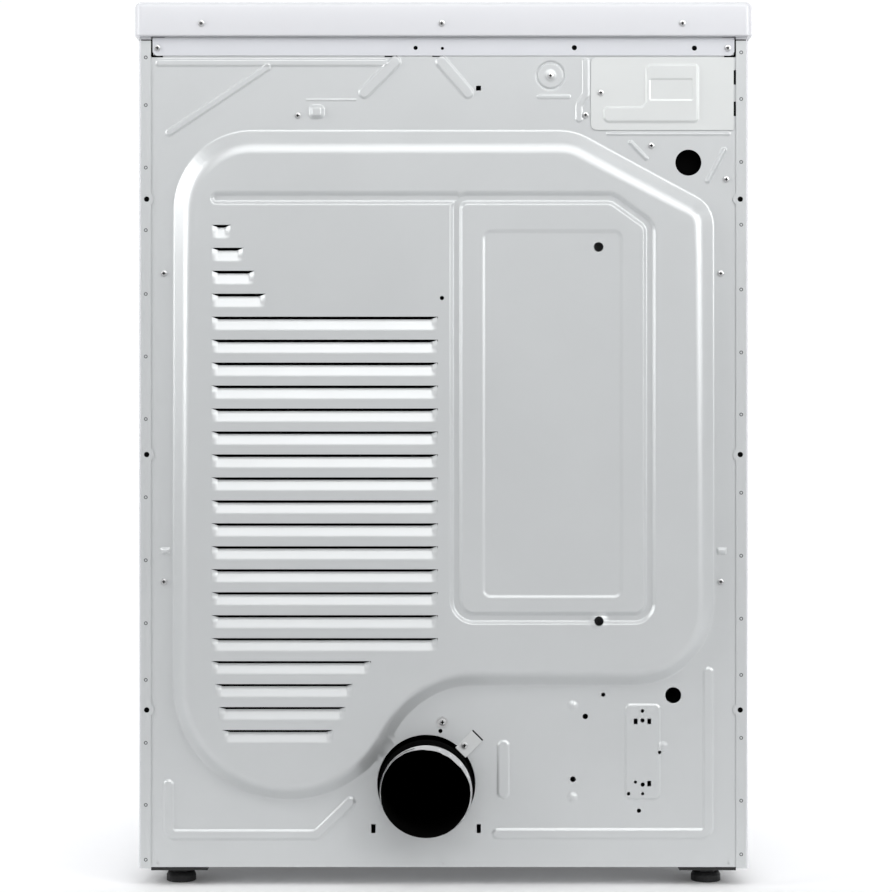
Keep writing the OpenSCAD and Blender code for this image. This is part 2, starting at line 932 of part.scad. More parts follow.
module blower_housing() {
    front = -bulk_front;
    back = -blower_rear;
    color("gray") difference() {
        slab(front, back) volute(0);
        slab(front + 2, back - 2) volute(2);
        rod_y(motor_x, motor_z, 50, front - eps, front + 3);
        rod_y(motor_x, motor_z, shaft_r + 2, back - 3, back + eps);
        rod_y(exhaust_x, exhaust_z, exhaust_r - duct_wall, back - 3, back + eps);
    }

    module volute(wall) {
        translate([motor_x, motor_z]) circle(r = 84 - wall);
        translate([exhaust_x, exhaust_z]) circle(r = 58 - wall);
        translate([motor_x, exhaust_z - 58 + wall]) square([exhaust_x - motor_x, 116 - 2 * wall]);
    }
}

module motor_bracket() {
    color("silver") {
        difference() {
            union() {
                block([motor_x - 65, -148, pan_top], [motor_x + 65, -12, pan_top + 3]);
                for (y = [-145, -30]) {
                    block([motor_x - 45, y, pan_top + 3], [motor_x + 45, y + 15, motor_z - 25]);
                }
            }
            rod_y(motor_x, motor_z, 55, -160, 0);
        }
        block([pivot[0] - 13, -12, pan_top], [motor_x, 26, pan_top + 3]);
        block([pivot[0] - 12, 18, pan_top + 3], [pivot[0] + 12, 26, pivot[1] + 12]);
        rod_y(pivot[0], pivot[1], 5, 26, 40);
    }
}

module idler_arm() {
    arm_angle = atan2(idler[1] - pivot[1], idler[0] - pivot[0]);
    reach = norm(idler - pivot);
    color("silver") {
        difference() {
            union() {
                rod_y(pivot[0], pivot[1], 11, 27, 39.5);
                translate([pivot[0], 28, pivot[1]]) rotate([0, -arm_angle, 0])
                    block([0, 0, -9], [reach + 9, 5, 9]);
            }
            rod_y(pivot[0], pivot[1], 5 + run_gap, 26, 41);
        }
        rod_y(idler[0], idler[1], 4, 33, 56);
    }
}

module idler_spring() {
    color("black")
        for (y = [34.2, 36.4, 38.6]) {
            translate([pivot[0], y, pivot[1]]) rotate([-90, 0, 0])
                rotate_extrude() translate([12, 0]) circle(r = 1, $fn = 16);
        }
}

module idler_pulley() {
    color("gray") difference() {
        turned_y(idler[0], idler[1], [
            [0, belt_y - 8], [idler_r + 3, belt_y - 8], [idler_r + 3, belt_y - 6],
            [idler_r, belt_y - 5], [idler_r, belt_y + 5], [idler_r + 3, belt_y + 6],
            [idler_r + 3, belt_y + 8], [0, belt_y + 8]
        ]);
        rod_y(idler[0], idler[1], 4 + run_gap, belt_y - 9, belt_y + 9);
    }
}

module roller_axles() {
    color("silver")
        for (side = [-1, 1]) {
            rod_y(side * roller_x, roller_z, axle_r, -bulk_front + bulk_sheet, front_roller_y + roller_w + 3);
            rod_y(side * roller_x, roller_z, axle_r, rear_roller_y - 3, bulk_rear);
        }
}

module drum_roller(side, y) {
    color("dimgray") difference() {
        rod_y(side * roller_x, roller_z, roller_r, y, y + roller_w);
        rod_y(side * roller_x, roller_z, axle_r + run_gap, y - 1, y + roller_w + 1);
    }
}

module thermostats() {
    color("ivory") {
        for (z = [420, 540]) {
            translate([-60, 330, z]) rotate([0, 90, 0]) cylinder(r = 12, h = 9);
        }
        translate([motor_x + 100, -215, exhaust_z + 58]) cylinder(r = 12, h = 9);
    }
}

// ---- feet ----

module foot_brackets() {
    color("dimgray")
        for (side = [-1, 1], y = [-foot_front, foot_rear]) {
            x0 = side > 0 ? 263 : -326;
            pad0 = side > 0 ? 263 : -311;
            difference() {
                union() {
                    block([x0, y - 33, 17], [x0 + 63, y + 33, side_bottom]);
                    block([pad0, y - 33, side_bottom], [pad0 + 48, y + 33, side_bottom + sheet]);
                    translate([side * foot_x, y, side_bottom]) cylinder(r = 12, h = 28);
                }
                translate([side * foot_x, y, 10]) cylinder(r = 5 + run_gap, h = 50);
            }
        }
}

module foot(x, y) {
    color("black") translate([x, y, 0]) {
        cylinder(r = 16.7, h = 11);
        cylinder(r = 13.4, h = 17);
        cylinder(r = 5, h = 66);
    }
}

top_panel();
left_side_panel();
right_side_panel();
base_pan();
rear_panel();
rear_top_brace();
terminal_cover();
terminal_block();
front_panel();
control_fascia();
display_window();
control_board();
front_bulkhead();
rear_bulkhead();
drum_felt_seals();
heater_duct();
heater_coil();
lint_duct();
blower_housing();
exhaust_duct();
exhaust_clip();
motor_stator();
motor_bracket();
drive_belt();
roller_axles();
moisture_sensors();
thermostats();
door_latch();
hinge_plate();
foot_brackets();
rear_screws();
door_outer_frame();
door_outer_window();
door_inner_frame();
door_glass_bowl();
door_seal();
door_hinge_arm();
door_strike();
drum_shell();
drum_baffles();
motor_rotor();
motor_pulley();
blower_wheel();
idler_arm();
idler_spring();
idler_pulley();
drum_roller(-1, front_roller_y);  // front_left_roller
drum_roller(1, front_roller_y);  // front_right_roller
drum_roller(-1, rear_roller_y);  // rear_left_roller
drum_roller(1, rear_roller_y);  // rear_right_roller
lint_filter();
cycle_knob();
power_button();
start_button();
temperature_button();
dryness_button();
foot(-foot_x, -foot_front);  // front_left_foot
foot(foot_x, -foot_front);  // front_right_foot
foot(-foot_x, foot_rear);  // rear_left_foot
foot(foot_x, foot_rear);  // rear_right_foot
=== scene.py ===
# The looks of a front-loading clothes dryer, seen from behind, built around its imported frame.
# Shapes are in millimetres in the frame's axes. Camera, lights, floor and textures are in metres.
import json
import math
import bmesh
import bpy
import numpy as np
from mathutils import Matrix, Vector


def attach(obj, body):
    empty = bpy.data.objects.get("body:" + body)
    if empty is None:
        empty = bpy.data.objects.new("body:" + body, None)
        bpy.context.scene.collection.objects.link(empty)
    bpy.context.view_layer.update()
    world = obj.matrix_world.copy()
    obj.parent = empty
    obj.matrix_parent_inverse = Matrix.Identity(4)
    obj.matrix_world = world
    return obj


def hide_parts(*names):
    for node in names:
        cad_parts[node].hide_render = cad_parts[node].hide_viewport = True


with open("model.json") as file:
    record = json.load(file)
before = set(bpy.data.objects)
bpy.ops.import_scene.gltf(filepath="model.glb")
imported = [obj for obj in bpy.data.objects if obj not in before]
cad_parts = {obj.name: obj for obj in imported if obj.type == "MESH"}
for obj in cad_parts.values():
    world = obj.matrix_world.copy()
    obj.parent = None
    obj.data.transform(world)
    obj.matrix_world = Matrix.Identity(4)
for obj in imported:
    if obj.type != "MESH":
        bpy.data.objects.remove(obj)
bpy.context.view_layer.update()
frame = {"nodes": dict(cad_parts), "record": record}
scene = bpy.context.scene
MM = 0.001


# ---- camera and light ----

REAR_PLANE = 345.0
VIEW_DISTANCE = 2.5
AIM_X = -2.8
AIM_Z = 490.0
FRAME_WIDTH = 0.9917
WORLD_BEHIND = 1.05
WORLD_ASIDE = 0.22
WORLD_AHEAD = 0.41
SKY_TINT = (0.97, 0.985, 1.0, 1)
REAR_AIM = (0, 0.35, 0.6)
FRONT_AIM = (0, -0.3, 0.6)
# Each light: its place, what it is aimed at, its width and height, and its power in watts.
LIGHTS = {
    "rear_top_softbox": ((-0.3, 1.85, 2.2), REAR_AIM, (2.6, 1.5), 31),
    "rear_right_softbox": ((-1.95, 1.75, 1.35), REAR_AIM, (1.3, 1.4), 25),
    "rear_left_strip": ((1.75, 0.95, 1.25), REAR_AIM, (0.6, 1.5), 17),
    "front_top_softbox": ((0.4, -2.2, 2.5), FRONT_AIM, (2.2, 1.2), 6),
    "front_left_softbox": ((-1.9, -1.9, 1.2), FRONT_AIM, (0.9, 2.0), 4.5),
}


def make_camera():
    camera = bpy.data.objects.new("camera", bpy.data.cameras.new("camera"))
    scene.collection.objects.link(camera)
    camera.location = (AIM_X * MM, REAR_PLANE * MM + VIEW_DISTANCE, AIM_Z * MM)
    camera.rotation_euler = (math.radians(90), 0, math.radians(180))
    camera.data.lens = camera.data.sensor_width * VIEW_DISTANCE / FRAME_WIDTH
    camera.data.clip_end = 50
    scene.camera = camera


def make_lights():
    for name, (place, aim, size, watts) in LIGHTS.items():
        light = bpy.data.lights.new(name, "AREA")
        light.shape = "RECTANGLE"
        light.size, light.size_y = size
        light.energy = watts
        lamp = bpy.data.objects.new(name, light)
        scene.collection.objects.link(lamp)
        lamp.location = place
        lamp.rotation_euler = (Vector(aim) - Vector(place)).to_track_quat("-Z", "Y").to_euler()


def make_world():
    """White behind the object as the camera sees it, dim overhead and at the sides, and soft
    again around the camera."""
    world = bpy.data.worlds.new("studio")
    scene.world = world
    world.use_nodes = True
    tree = world.node_tree
    away = mapped(tree, along_y(tree, "Generated"), WORLD_BEHIND, WORLD_ASIDE, -0.55, 0.1)
    ahead = mapped(tree, along_y(tree, "Generated"), 0, WORLD_AHEAD - WORLD_ASIDE, 0.45, 0.85)
    total = tree.nodes.new("ShaderNodeMath")
    total.operation = "ADD"
    tree.links.new(away, total.inputs[0])
    tree.links.new(ahead, total.inputs[1])
    feed(tree.nodes["Background"], Color=SKY_TINT, Strength=total.outputs["Value"])
    scene.view_settings.view_transform = "Standard"


# ---- materials ----

def feed(node, **inputs):
    """Fills a node's inputs: a socket is linked, another value is set. Returns its outputs."""
    for name, value in inputs.items():
        socket = node.inputs[name.replace("_", " ")]
        if isinstance(value, bpy.types.NodeSocket):
            node.id_data.links.new(value, socket)
        else:
            socket.default_value = value
    return node.outputs


def new_material(name):
    material = bpy.data.materials.new(name)
    material.use_nodes = True
    return material, material.node_tree


def along_y(tree, space):
    place = tree.nodes.new("ShaderNodeTexCoord").outputs[space]
    return feed(tree.nodes.new("ShaderNodeSeparateXYZ"), Vector=place)["Y"]


def noise(tree, scale, detail, stretch=(1, 1, 1)):
    place = tree.nodes.new("ShaderNodeTexCoord").outputs["Object"]
    stretched = feed(tree.nodes.new("ShaderNodeMapping"), Vector=place, Scale=stretch)["Vector"]
    return feed(tree.nodes.new("ShaderNodeTexNoise"), Vector=stretched, Scale=scale,
                Detail=detail)["Fac"]


def mapped(tree, value, low, high, start, end):
    """Maps start to end onto low to high."""
    return feed(tree.nodes.new("ShaderNodeMapRange"), Value=value, From_Min=start, From_Max=end,
                To_Min=low, To_Max=high)["Result"]


def tinted(tree, value, dark, light, start=0.3, end=0.7):
    """Blends from a dark to a light colour as the value goes from start to end."""
    ramp = tree.nodes.new("ShaderNodeValToRGB")
    for stop, position, colour in zip(ramp.color_ramp.elements, (start, end), (dark, light)):
        stop.position = position
        stop.color = (*colour, 1)
    return feed(ramp, Fac=value)["Color"]


def shade(colour, factor):
    return tuple(c * factor for c in colour)


MOTTLE_SCALE = 9
SMEAR_SCALE = 24
COAT_ROUGHNESS = 0.12
LEAST_ROUGHNESS = 0.02


def surface(name, colour, roughness, metallic=0.0, vary=0.04, grain=900, bump=0.00002,
            stretch=(1, 1, 1), rough_spread=0.03, coat=0.0, specular=0.5, glass_ior=None):
    """A material with a soft mottle of colour, uneven gloss and a fine relief."""
    material, tree = new_material(name)
    mottle = noise(tree, MOTTLE_SCALE, 5)
    smear = noise(tree, SMEAR_SCALE, 6, stretch)
    relief = feed(tree.nodes.new("ShaderNodeBump"), Distance=bump, Strength=0.5,
                  Height=noise(tree, grain, 3, stretch))["Normal"]
    glossiest = max(roughness - rough_spread, LEAST_ROUGHNESS)
    shader = tree.nodes["Principled BSDF"]
    feed(shader, Metallic=metallic, Specular_IOR_Level=specular, Coat_Weight=coat,
         Coat_Roughness=COAT_ROUGHNESS, Normal=relief,
         Base_Color=tinted(tree, mottle, shade(colour, 1 - vary), shade(colour, 1 + vary)),
         Roughness=mapped(tree, smear, glossiest, roughness + rough_spread, 0.2, 0.8))
    if glass_ior:
        feed(shader, Transmission_Weight=1.0, IOR=glass_ior)
    return material


BRUSHED = (1, 0.02, 1)
# Each surface: its colour, its roughness and what else sets it apart.
SURFACES = {
    "white_paint": ((0.66, 0.665, 0.69), 0.26,
                    dict(vary=0.004, grain=700, rough_spread=0.012, coat=0.15)),
    "coated_sheet": ((0.60, 0.615, 0.62), 0.34,
                     dict(metallic=0.3, vary=0.015, grain=1200, bump=0.00001, rough_spread=0.015)),
    "cover_sheet": ((0.665, 0.68, 0.675), 0.34,
                    dict(metallic=0.2, vary=0.01, grain=1200, bump=0.00001)),
    "brace_sheet": ((0.615, 0.625, 0.655), 0.32,
                    dict(metallic=0.1, vary=0.01, grain=1200, bump=0.00001)),
    "galvanised": ((0.62, 0.63, 0.64), 0.42,
                   dict(metallic=0.85, vary=0.08, grain=160, bump=0.00003, rough_spread=0.1)),
    "clip_steel": ((0.64, 0.65, 0.65), 0.35, dict(metallic=0.4, vary=0.03)),
    "duct_foil": ((0.78, 0.79, 0.80), 0.3, dict(metallic=0.9, vary=0.08, grain=120, bump=0.0002)),
    "foil_lip": ((0.52, 0.525, 0.53), 0.34, dict(metallic=0.4, vary=0.22, grain=260, bump=0.0005)),
    "stainless": ((0.60, 0.60, 0.61), 0.27, dict(metallic=1.0, vary=0.03, stretch=BRUSHED)),
    "dark_steel": ((0.30, 0.30, 0.31), 0.4, dict(metallic=0.9, vary=0.1)),
    "screw_zinc": ((0.66, 0.66, 0.66), 0.32, dict(metallic=0.9, vary=0.05)),
    "chrome_trim": ((0.75, 0.76, 0.77), 0.12, dict(metallic=1.0, vary=0.02)),
    "silver_trim": ((0.50, 0.51, 0.53), 0.28,
                    dict(metallic=0.85, vary=0.01, rough_spread=0.015, coat=0.4)),
    "white_plastic": ((0.70, 0.71, 0.72), 0.3,
                      dict(vary=0.005, grain=1500, bump=0.00001, rough_spread=0.015)),
    "grey_plastic": ((0.42, 0.43, 0.44), 0.5, {}),
    "black_plastic": ((0.02, 0.02, 0.02), 0.5, dict(vary=0.2)),
    "dark_window": ((0.012, 0.013, 0.016), 0.08,
                    dict(vary=0.1, rough_spread=0.02, bump=0.000004, coat=0.6)),
    "clear_glass": ((0.90, 0.93, 0.94), 0.05,
                    dict(vary=0.01, bump=0.000004, rough_spread=0.02, glass_ior=1.5)),
    "felt": ((0.52, 0.51, 0.48), 0.95, dict(vary=0.15, grain=600, bump=0.0004)),
    "rubber": ((0.012, 0.012, 0.013), 0.6, dict(vary=0.2, grain=500, bump=0.00005)),
    "grey_rubber": ((0.28, 0.29, 0.30), 0.65, dict(vary=0.08)),
    "copper_board": ((0.03, 0.16, 0.08), 0.35, dict(vary=0.15)),
    "ceramic": ((0.75, 0.73, 0.67), 0.45, {}),
    "heater_wire": ((0.14, 0.13, 0.13), 0.6, dict(metallic=0.6, vary=0.2)),
    # Painted shade: a near-black without specular, for the unlit inside seen through holes, slits
    # and gaps, in recesses and down the pipe.
    "dark_inside": ((0.003, 0.003, 0.003), 0.95, dict(vary=0.2, specular=0.0)),
    "screen_glow": ((0.55, 0.75, 0.85), 0.4, dict(vary=0.05)),
    # Dark grey for printed marks, and also painted shade for the rings at the flange's clinches.
    "mark_grey": ((0.10, 0.105, 0.11), 0.5, dict(vary=0.05)),
}
materials = {name: surface(name, colour, roughness, **extra)
             for name, (colour, roughness, extra) in SURFACES.items()}


# ---- outlines ----

def corner_arc(a, b, c, radius, steps):
    """Points that round the corner b between a and c."""
    u = (a - b) / np.linalg.norm(a - b)
    v = (c - b) / np.linalg.norm(c - b)
    half = math.acos(float(np.clip(u @ v, -1, 1))) / 2
    middle = b + (u + v) / np.linalg.norm(u + v) * radius / math.sin(half)
    start = b + u * radius / math.tan(half) - middle
    turn = (math.pi - 2 * half) * np.sign(u[0] * v[1] - u[1] * v[0])
    first = math.atan2(start[1], start[0])
    return [middle + radius * np.array([math.cos(first - turn * i / steps),
                                        math.sin(first - turn * i / steps)])
            for i in range(steps + 1)]


def rounded(corners, closed=True, steps=12):
    """A path through (x, z, radius) corners."""
    points = [np.array(c[:2], float) for c in corners]
    count = len(points)
    path = []
    for i, corner in enumerate(corners):
        if not closed and i in (0, count - 1) or corner[2] == 0:
            path.append(points[i])
        else:
            path += corner_arc(points[i - 1], points[i], points[(i + 1) % count], corner[2], steps)
    return np.array(path)


def rounded_profile(*corners):
    return rounded(corners, steps=6)


def rectangle(x0, z0, x1, z1, radius):
    return rounded([(x0, z0, radius), (x1, z0, radius), (x1, z1, radius), (x0, z1, radius)])


def circle(x, z, radius, count=48):
    turns = np.arange(count) * 2 * math.pi / count
    return np.stack([x + radius * np.cos(turns), z + radius * np.sin(turns)], 1)


def path_distance(x, z, path, closed=False):
    """Distance from each point to a path."""
    ends = np.roll(path, -1, 0) if closed else path[1:]
    starts = path if closed else path[:-1]
    best = np.full(x.shape, 1e9)
    for a, b in zip(starts, ends):
        d = b - a
        length = max(float(d @ d), 1e-9)
        t = np.clip(((x - a[0]) * d[0] + (z - a[1]) * d[1]) / length, 0, 1)
        best = np.minimum(best, (x - a[0] - t * d[0]) ** 2 + (z - a[1] - t * d[1]) ** 2)
    return np.sqrt(best)


def inside(x, z, path):
    """True where a point lies within a closed path."""
    within = np.zeros(x.shape, bool)
    for a, b in zip(path, np.roll(path, -1, 0)):
        crosses = (a[1] > z) != (b[1] > z)
        with np.errstate(divide="ignore", invalid="ignore"):
            at = (b[0] - a[0]) * (z - a[1]) / (b[1] - a[1]) + a[0]
        within ^= crosses & (x < at)
    return within


def depth_inside(x, z, path):
    distance = path_distance(x, z, path, closed=True)
    return np.where(inside(x, z, path), distance, -distance)


def flank(t, foot, crown):
    """0 to 1 over a pressed flank: the foot and the crown are the rounded shares of its width."""
    t = np.clip(t, 0, 1)
    slope = 1 / (1 - (foot + crown) / 2)
    low = slope * t ** 2 / (2 * foot)
    high = 1 - slope * (1 - t) ** 2 / (2 * crown)
    return np.where(t < foot, low, np.where(t > 1 - crown, high, slope * (t - foot / 2)))


def pressed_ramp(t, blend=0.28):
    return flank(t, blend, blend)


# ---- pieces ----

SHARP_ANGLE = 35


def add_piece(name, verts, faces, body="cabinet", slot="coated_sheet", material=None,
              smooth_angle=SHARP_ANGLE, replaces=()):
    """Makes a mesh piece, shades it, gives it its material and attaches it to its body."""
    mesh = bpy.data.meshes.new(name)
    mesh.from_pydata((np.array(verts, float) * MM).tolist(), [], [tuple(f) for f in faces])
    mesh.validate()
    mesh.shade_smooth()
    mesh.set_sharp_from_angle(angle=math.radians(smooth_angle))
    piece = bpy.data.objects.new(name, mesh)
    scene.collection.objects.link(piece)
    mesh.materials.append(materials[material or slot])
    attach(piece, body)
    if replaces:
        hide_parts(*replaces)
    return piece


def weld(piece, gap=0.00001):
    """Merges the points that coincide, and turns every face outward."""
    shape = bmesh.new()
    shape.from_mesh(piece.data)
    bmesh.ops.remove_doubles(shape, verts=shape.verts, dist=gap)
    bmesh.ops.recalc_face_normals(shape, faces=shape.faces)
    shape.to_mesh(piece.data)
    shape.free()
    piece.data.set_sharp_from_angle(angle=math.radians(SHARP_ANGLE))


def loft(name, sections, ring=False, **options):
    """A skin over closed sections; a ring's last section meets its first, and else both ends
    are capped."""
    count, size = len(sections), len(sections[0])
    faces = []
    for k in range(count if ring else count - 1):
        here, there = k * size, (k + 1) % count * size
        faces += [[here + i, here + (i + 1) % size, there + (i + 1) % size, there + i]
                  for i in range(size)]
    if not ring:
        faces += [list(range(size))[::-1], list(range((count - 1) * size, count * size))]
    weld(add_piece(name, [point for section in sections for point in section], faces, **options))


def turned(name, centre, profile, axis="Y", count=96, flutes=0, flute_depth=0.0, **options):
    """Turns a closed profile of (radius, distance along the axis) points about an axis."""
    x, y, z = centre
    sections = []
    for k in range(count):
        angle = 2 * math.pi * k / count
        dent = flute_depth * (0.5 - 0.5 * math.cos(angle * flutes))
        section = []
        for radius, along in profile:
            radius -= dent if radius > 0 else 0
            u, v = radius * math.cos(angle), radius * math.sin(angle)
            section.append((x + u, y + along, z + v) if axis == "Y" else (x + u, y + v, z + along))
        sections.append(section)
    loft(name, sections, ring=True, **options)


def flat(name, corners, y, facing, **options):
    """One flat face across Y, which faces along +Y or -Y."""
    area = sum(a[0] * b[1] - b[0] * a[1] for a, b in zip(corners, np.roll(corners, -1, 0)))
    order = list(range(len(corners)))
    add_piece(name, [(x, y, z) for x, z in corners],
              [order[::-1] if (area > 0) == (facing > 0) else order], **options)


def new_box(low, high):
    shape = bmesh.new()
    bmesh.ops.create_cube(shape, size=1)
    for v in shape.verts:
        v.co = Vector([low[k] if v.co[k] < 0 else high[k] for k in range(3)])
    return shape


def bevel(shape, edges, offset, segments):
    bmesh.ops.bevel(shape, geom=edges, offset=offset, segments=segments, profile=0.5,
                    affect="EDGES")


def finish_box(shape, name, **options):
    shape.verts.index_update()
    verts = [tuple(v.co) for v in shape.verts]
    faces = [[v.index for v in f.verts] for f in shape.faces]
    shape.free()
    add_piece(name, verts, faces, **options)


def bevelled_box(name, low, high, width, **options):
    shape = new_box(low, high)
    bevel(shape, shape.edges[:], width, 4)
    finish_box(shape, name, smooth_angle=45, **options)


# ---- pressed sheet ----

LEAST_CELL = 0.3
HOLE_MARGIN = 0.5
CREASE = 1.5


class Sheet:
    """A pressed sheet in the XZ plane: relief, round and square holes, slits and real edges."""

    def __init__(self, x0, x1, z0, z1, y, step=2.0, thickness=1.0, facing=1):
        self.span = (x0, x1, z0, z1)
        self.y = y
        self.step = step
        self.thickness = thickness
        self.facing = facing
        self.x_lines = [x0, x1]
        self.z_lines = [z0, z1]
        self.reliefs = []
        self.holes = []
        self.slits = []
        self.outline = None

    def relief(self, path, function, reach=1):
        """Adds function(x, z) to the height, as far as reach outside the path's box."""
        self.reliefs.append((np.array(path, float), reach, function))

    def pad(self, path, ramp, rise):
        """Raises (or lowers) all within a closed path, over a flank of width ramp."""
        self.relief(path, lambda x, z: rise * pressed_ramp(depth_inside(x, z, path) / ramp), ramp)

    def bead(self, path, width, rise, flank_share=0.45, closed=False):
        """Presses a rib (or a groove) along a path."""
        half = width / 2
        path = np.array(path, float)
        self.relief(path, lambda x, z: rise * pressed_ramp(
            (half - path_distance(x, z, path, closed)) / (width * flank_share)), half + 1)

    def bump(self, x, z, radius, rise):
        self.bead([(x, z), (x + 0.01, z)], radius * 2, rise)

    def hole(self, x, z, radius):
        self.holes.append((x, z, radius, radius, True))

    def slot(self, x, z, width, height):
        self.holes.append((x, z, width / 2, height / 2, False))

    def slit(self, x0, x1, z0, z1, taper):
        """An open cut that narrows to a point over taper at each end."""
        self.slits.append((x0, x1, z0, z1, taper))
        self.x_lines += [x0, x1]
        self.z_lines += [z0, z1]

    def height(self, x, z):
        total = np.zeros(x.shape)
        for path, reach, function in self.reliefs:
            low = path.min(0) - reach
            high = path.max(0) + reach
            near = (x > low[0]) & (x < high[0]) & (z > low[1]) & (z < high[1])
            if near.any():
                total[near] += function(x[near], z[near])
        return total

    @staticmethod
    def fill(lines, step):
        """Grid lines through all the given ones, no further apart than step."""
        lines = sorted(set(round(v, 3) for v in lines))
        kept = [lines[0]]
        for value in lines[1:]:
            if value - kept[-1] > LEAST_CELL:
                kept.append(value)
        filled = []
        for a, b in zip(kept, kept[1:]):
            parts = max(1, math.ceil((b - a) / step - 0.01))
            filled += [a + (b - a) * i / parts for i in range(parts)]
        return np.array(filled + [kept[-1]])

    def build(self, name, **options):
        xs = self.fill(self.x_lines, self.step)
        zs = self.fill(self.z_lines, self.step)
        nz = len(zs)
        gx, gz = np.meshgrid(xs, zs, indexing="ij")
        px = list(gx.ravel())
        pz = list(gz.ravel())
        keep = np.ones((len(xs) - 1, nz - 1), bool)
        cx = (xs[:-1] + xs[1:]) / 2
        cz = (zs[:-1] + zs[1:]) / 2
        for x0, x1, z0, z1, taper in self.slits:
            keep[np.ix_((cx > x0) & (cx < x1), (cz > z0) & (cz < z1))] = False
            row = int(np.abs(zs - z0).argmin())
            for i in np.nonzero((xs > x0 - 0.01) & (xs < x1 + 0.01))[0]:
                share = min(max(min(xs[i] - x0, x1 - xs[i]) / taper, 0.03), 1)
                pz[i * nz + row] = z1 - (z1 - z0) * share
        faces = []
        for hole in self.holes:
            self.patch(hole, xs, zs, keep, px, pz, faces)
        i, j = np.nonzero(keep)
        base = i * nz + j
        grid = np.stack([base, base + nz, base + nz + 1, base + 1], 1)
        faces = grid.tolist() + faces
        x = np.array(px)
        z = np.array(pz)
        y = self.y + self.facing * self.height(x, z)
        if self.outline is not None:
            faces = self.clip(faces, x, z)
        normals = self.normals(x, z)
        verts, faces, rim = self.add_edges(np.stack([x, y, z], 1), faces)
        normals = np.concatenate([normals, normals[rim]])
        if self.facing > 0:
            faces = [f[::-1] for f in faces]
        used = sorted({v for f in faces for v in f})
        index = {v: k for k, v in enumerate(used)}
        faces = [[index[v] for v in f] for f in faces]
        piece = add_piece(name, verts[used], faces, **options)
        piece.data.normals_split_custom_set_from_vertices(normals[used])

    def normals(self, x, z, gap=0.25):
        """The sheet's own normals; at a cut the side with the gentler slope counts."""
        here = self.height(x, z)
        slopes = []
        for dx, dz in ((gap, 0), (0, gap)):
            ahead = (self.height(x + dx, z + dz) - here) / gap
            behind = (here - self.height(x - dx, z - dz)) / gap
            gentler = np.where(np.abs(ahead) < np.abs(behind), ahead, behind)
            slopes.append(np.where(np.abs(ahead - behind) > CREASE, gentler, (ahead + behind) / 2))
        normals = np.stack([-slopes[0], np.full(x.shape, float(self.facing)), -slopes[1]], 1)
        return normals / np.linalg.norm(normals, axis=1)[:, None]

    def patch(self, hole, xs, zs, keep, px, pz, faces):
        """Cuts a square out of the grid and fills it with rings that end at the hole's edge."""
        x, z, a, b, is_round = hole
        nz = len(zs)
        i0 = np.searchsorted(xs, x - a - HOLE_MARGIN) - 1
        i1 = np.searchsorted(xs, x + a + HOLE_MARGIN)
        j0 = np.searchsorted(zs, z - b - HOLE_MARGIN) - 1
        j1 = np.searchsorted(zs, z + b + HOLE_MARGIN)
        if i0 < 0 or j0 < 0 or i1 >= len(xs) or j1 >= nz or not keep[i0:i1, j0:j1].all():
            print("hole left out", hole)
            return
        keep[i0:i1, j0:j1] = False
        loop = [(i, j0) for i in range(i0, i1)] + [(i1, j) for j in range(j0, j1)]
        loop += [(i, j1) for i in range(i1, i0, -1)] + [(i0, j) for j in range(j1, j0, -1)]
        previous = [int(i * nz + j) for i, j in loop]
        count = len(previous)
        ox = np.array([px[k] for k in previous])
        oz = np.array([pz[k] for k in previous])
        angles = np.arctan2(oz - z, ox - x)
        across, up = a * np.cos(angles), b * np.sin(angles)
        if not is_round:
            reach = 1 / np.maximum(np.abs(np.cos(angles)) / a, np.abs(np.sin(angles)) / b)
            across, up = reach * np.cos(angles), reach * np.sin(angles)
        for share in (0.5, 1.0):
            ring = list(range(len(px), len(px) + count))
            px += list(ox + (x + across - ox) * share)
            pz += list(oz + (z + up - oz) * share)
            faces += [[previous[k], previous[(k + 1) % count], ring[(k + 1) % count], ring[k]]
                      for k in range(count)]
            previous = ring

    def clip(self, faces, x, z):
        """Keeps the faces within the outline, and draws the cut ones onto it."""
        quads = np.array(faces)
        kept = quads[inside(x[quads].mean(1), z[quads].mean(1), self.outline)]
        used = np.unique(kept)
        for v in used[~inside(x[used], z[used], self.outline)]:
            x[v], z[v] = self.nearest(np.array([x[v], z[v]]))
        return kept.tolist()

    def nearest(self, point):
        """The outline's point that is closest."""
        along = np.roll(self.outline, -1, 0) - self.outline
        length = np.maximum((along ** 2).sum(1), 1e-9)
        share = np.clip(((point - self.outline) * along).sum(1) / length, 0, 1)
        feet = self.outline + share[:, None] * along
        return feet[((feet - point) ** 2).sum(1).argmin()]

    def add_edges(self, verts, faces):
        """Turns every free edge back by the sheet's thickness."""
        quads = np.array(faces)
        edges = np.concatenate([quads[:, [k, (k + 1) % 4]] for k in range(4)])
        keys = np.sort(edges, 1)
        code = keys[:, 0].astype(np.int64) * len(verts) + keys[:, 1]
        values, counts = np.unique(code, return_counts=True)
        free = edges[np.isin(code, values[counts == 1])]
        rim = np.unique(free)
        back = {int(v): len(verts) + k for k, v in enumerate(rim)}
        turned_back = verts[rim].copy()
        turned_back[:, 1] -= self.facing * self.thickness
        verts = np.concatenate([verts, turned_back])
        faces = faces + [[int(b), int(a), back[int(a)], back[int(b)]] for a, b in free]
        return verts, faces, rim


# ---- rear panel ----

PANEL_Y = 344.0
BACKING_Y = 344.4
PLATEAU_RISE = 14.0
PLATEAU_RAMPS = ((150, 19.5), (270, 20.5), (700, 25), (800, 29.5))
GROOVE_HALF = 7.6
GROOVE_FLANK = 5.2
GROOVE_DEPTH = 3.6
LOUVRES = 23
LOUVRE_TOP = 734.7
LOUVRE_PITCH = 25.4
LOUVRE_LEFT = 257.2
LOUVRE_HEIGHT = 16.0
LOUVRE_DEPTH = 3.8
LOUVRE_ENDS = 8.0
SLIT = 2.9
EXHAUST = (19.1, 114.2)
EXHAUST_HOLE = 54.6
CORD_HOLE = (-272.4, 805.2)
CORD_HOLE_R = 14.5
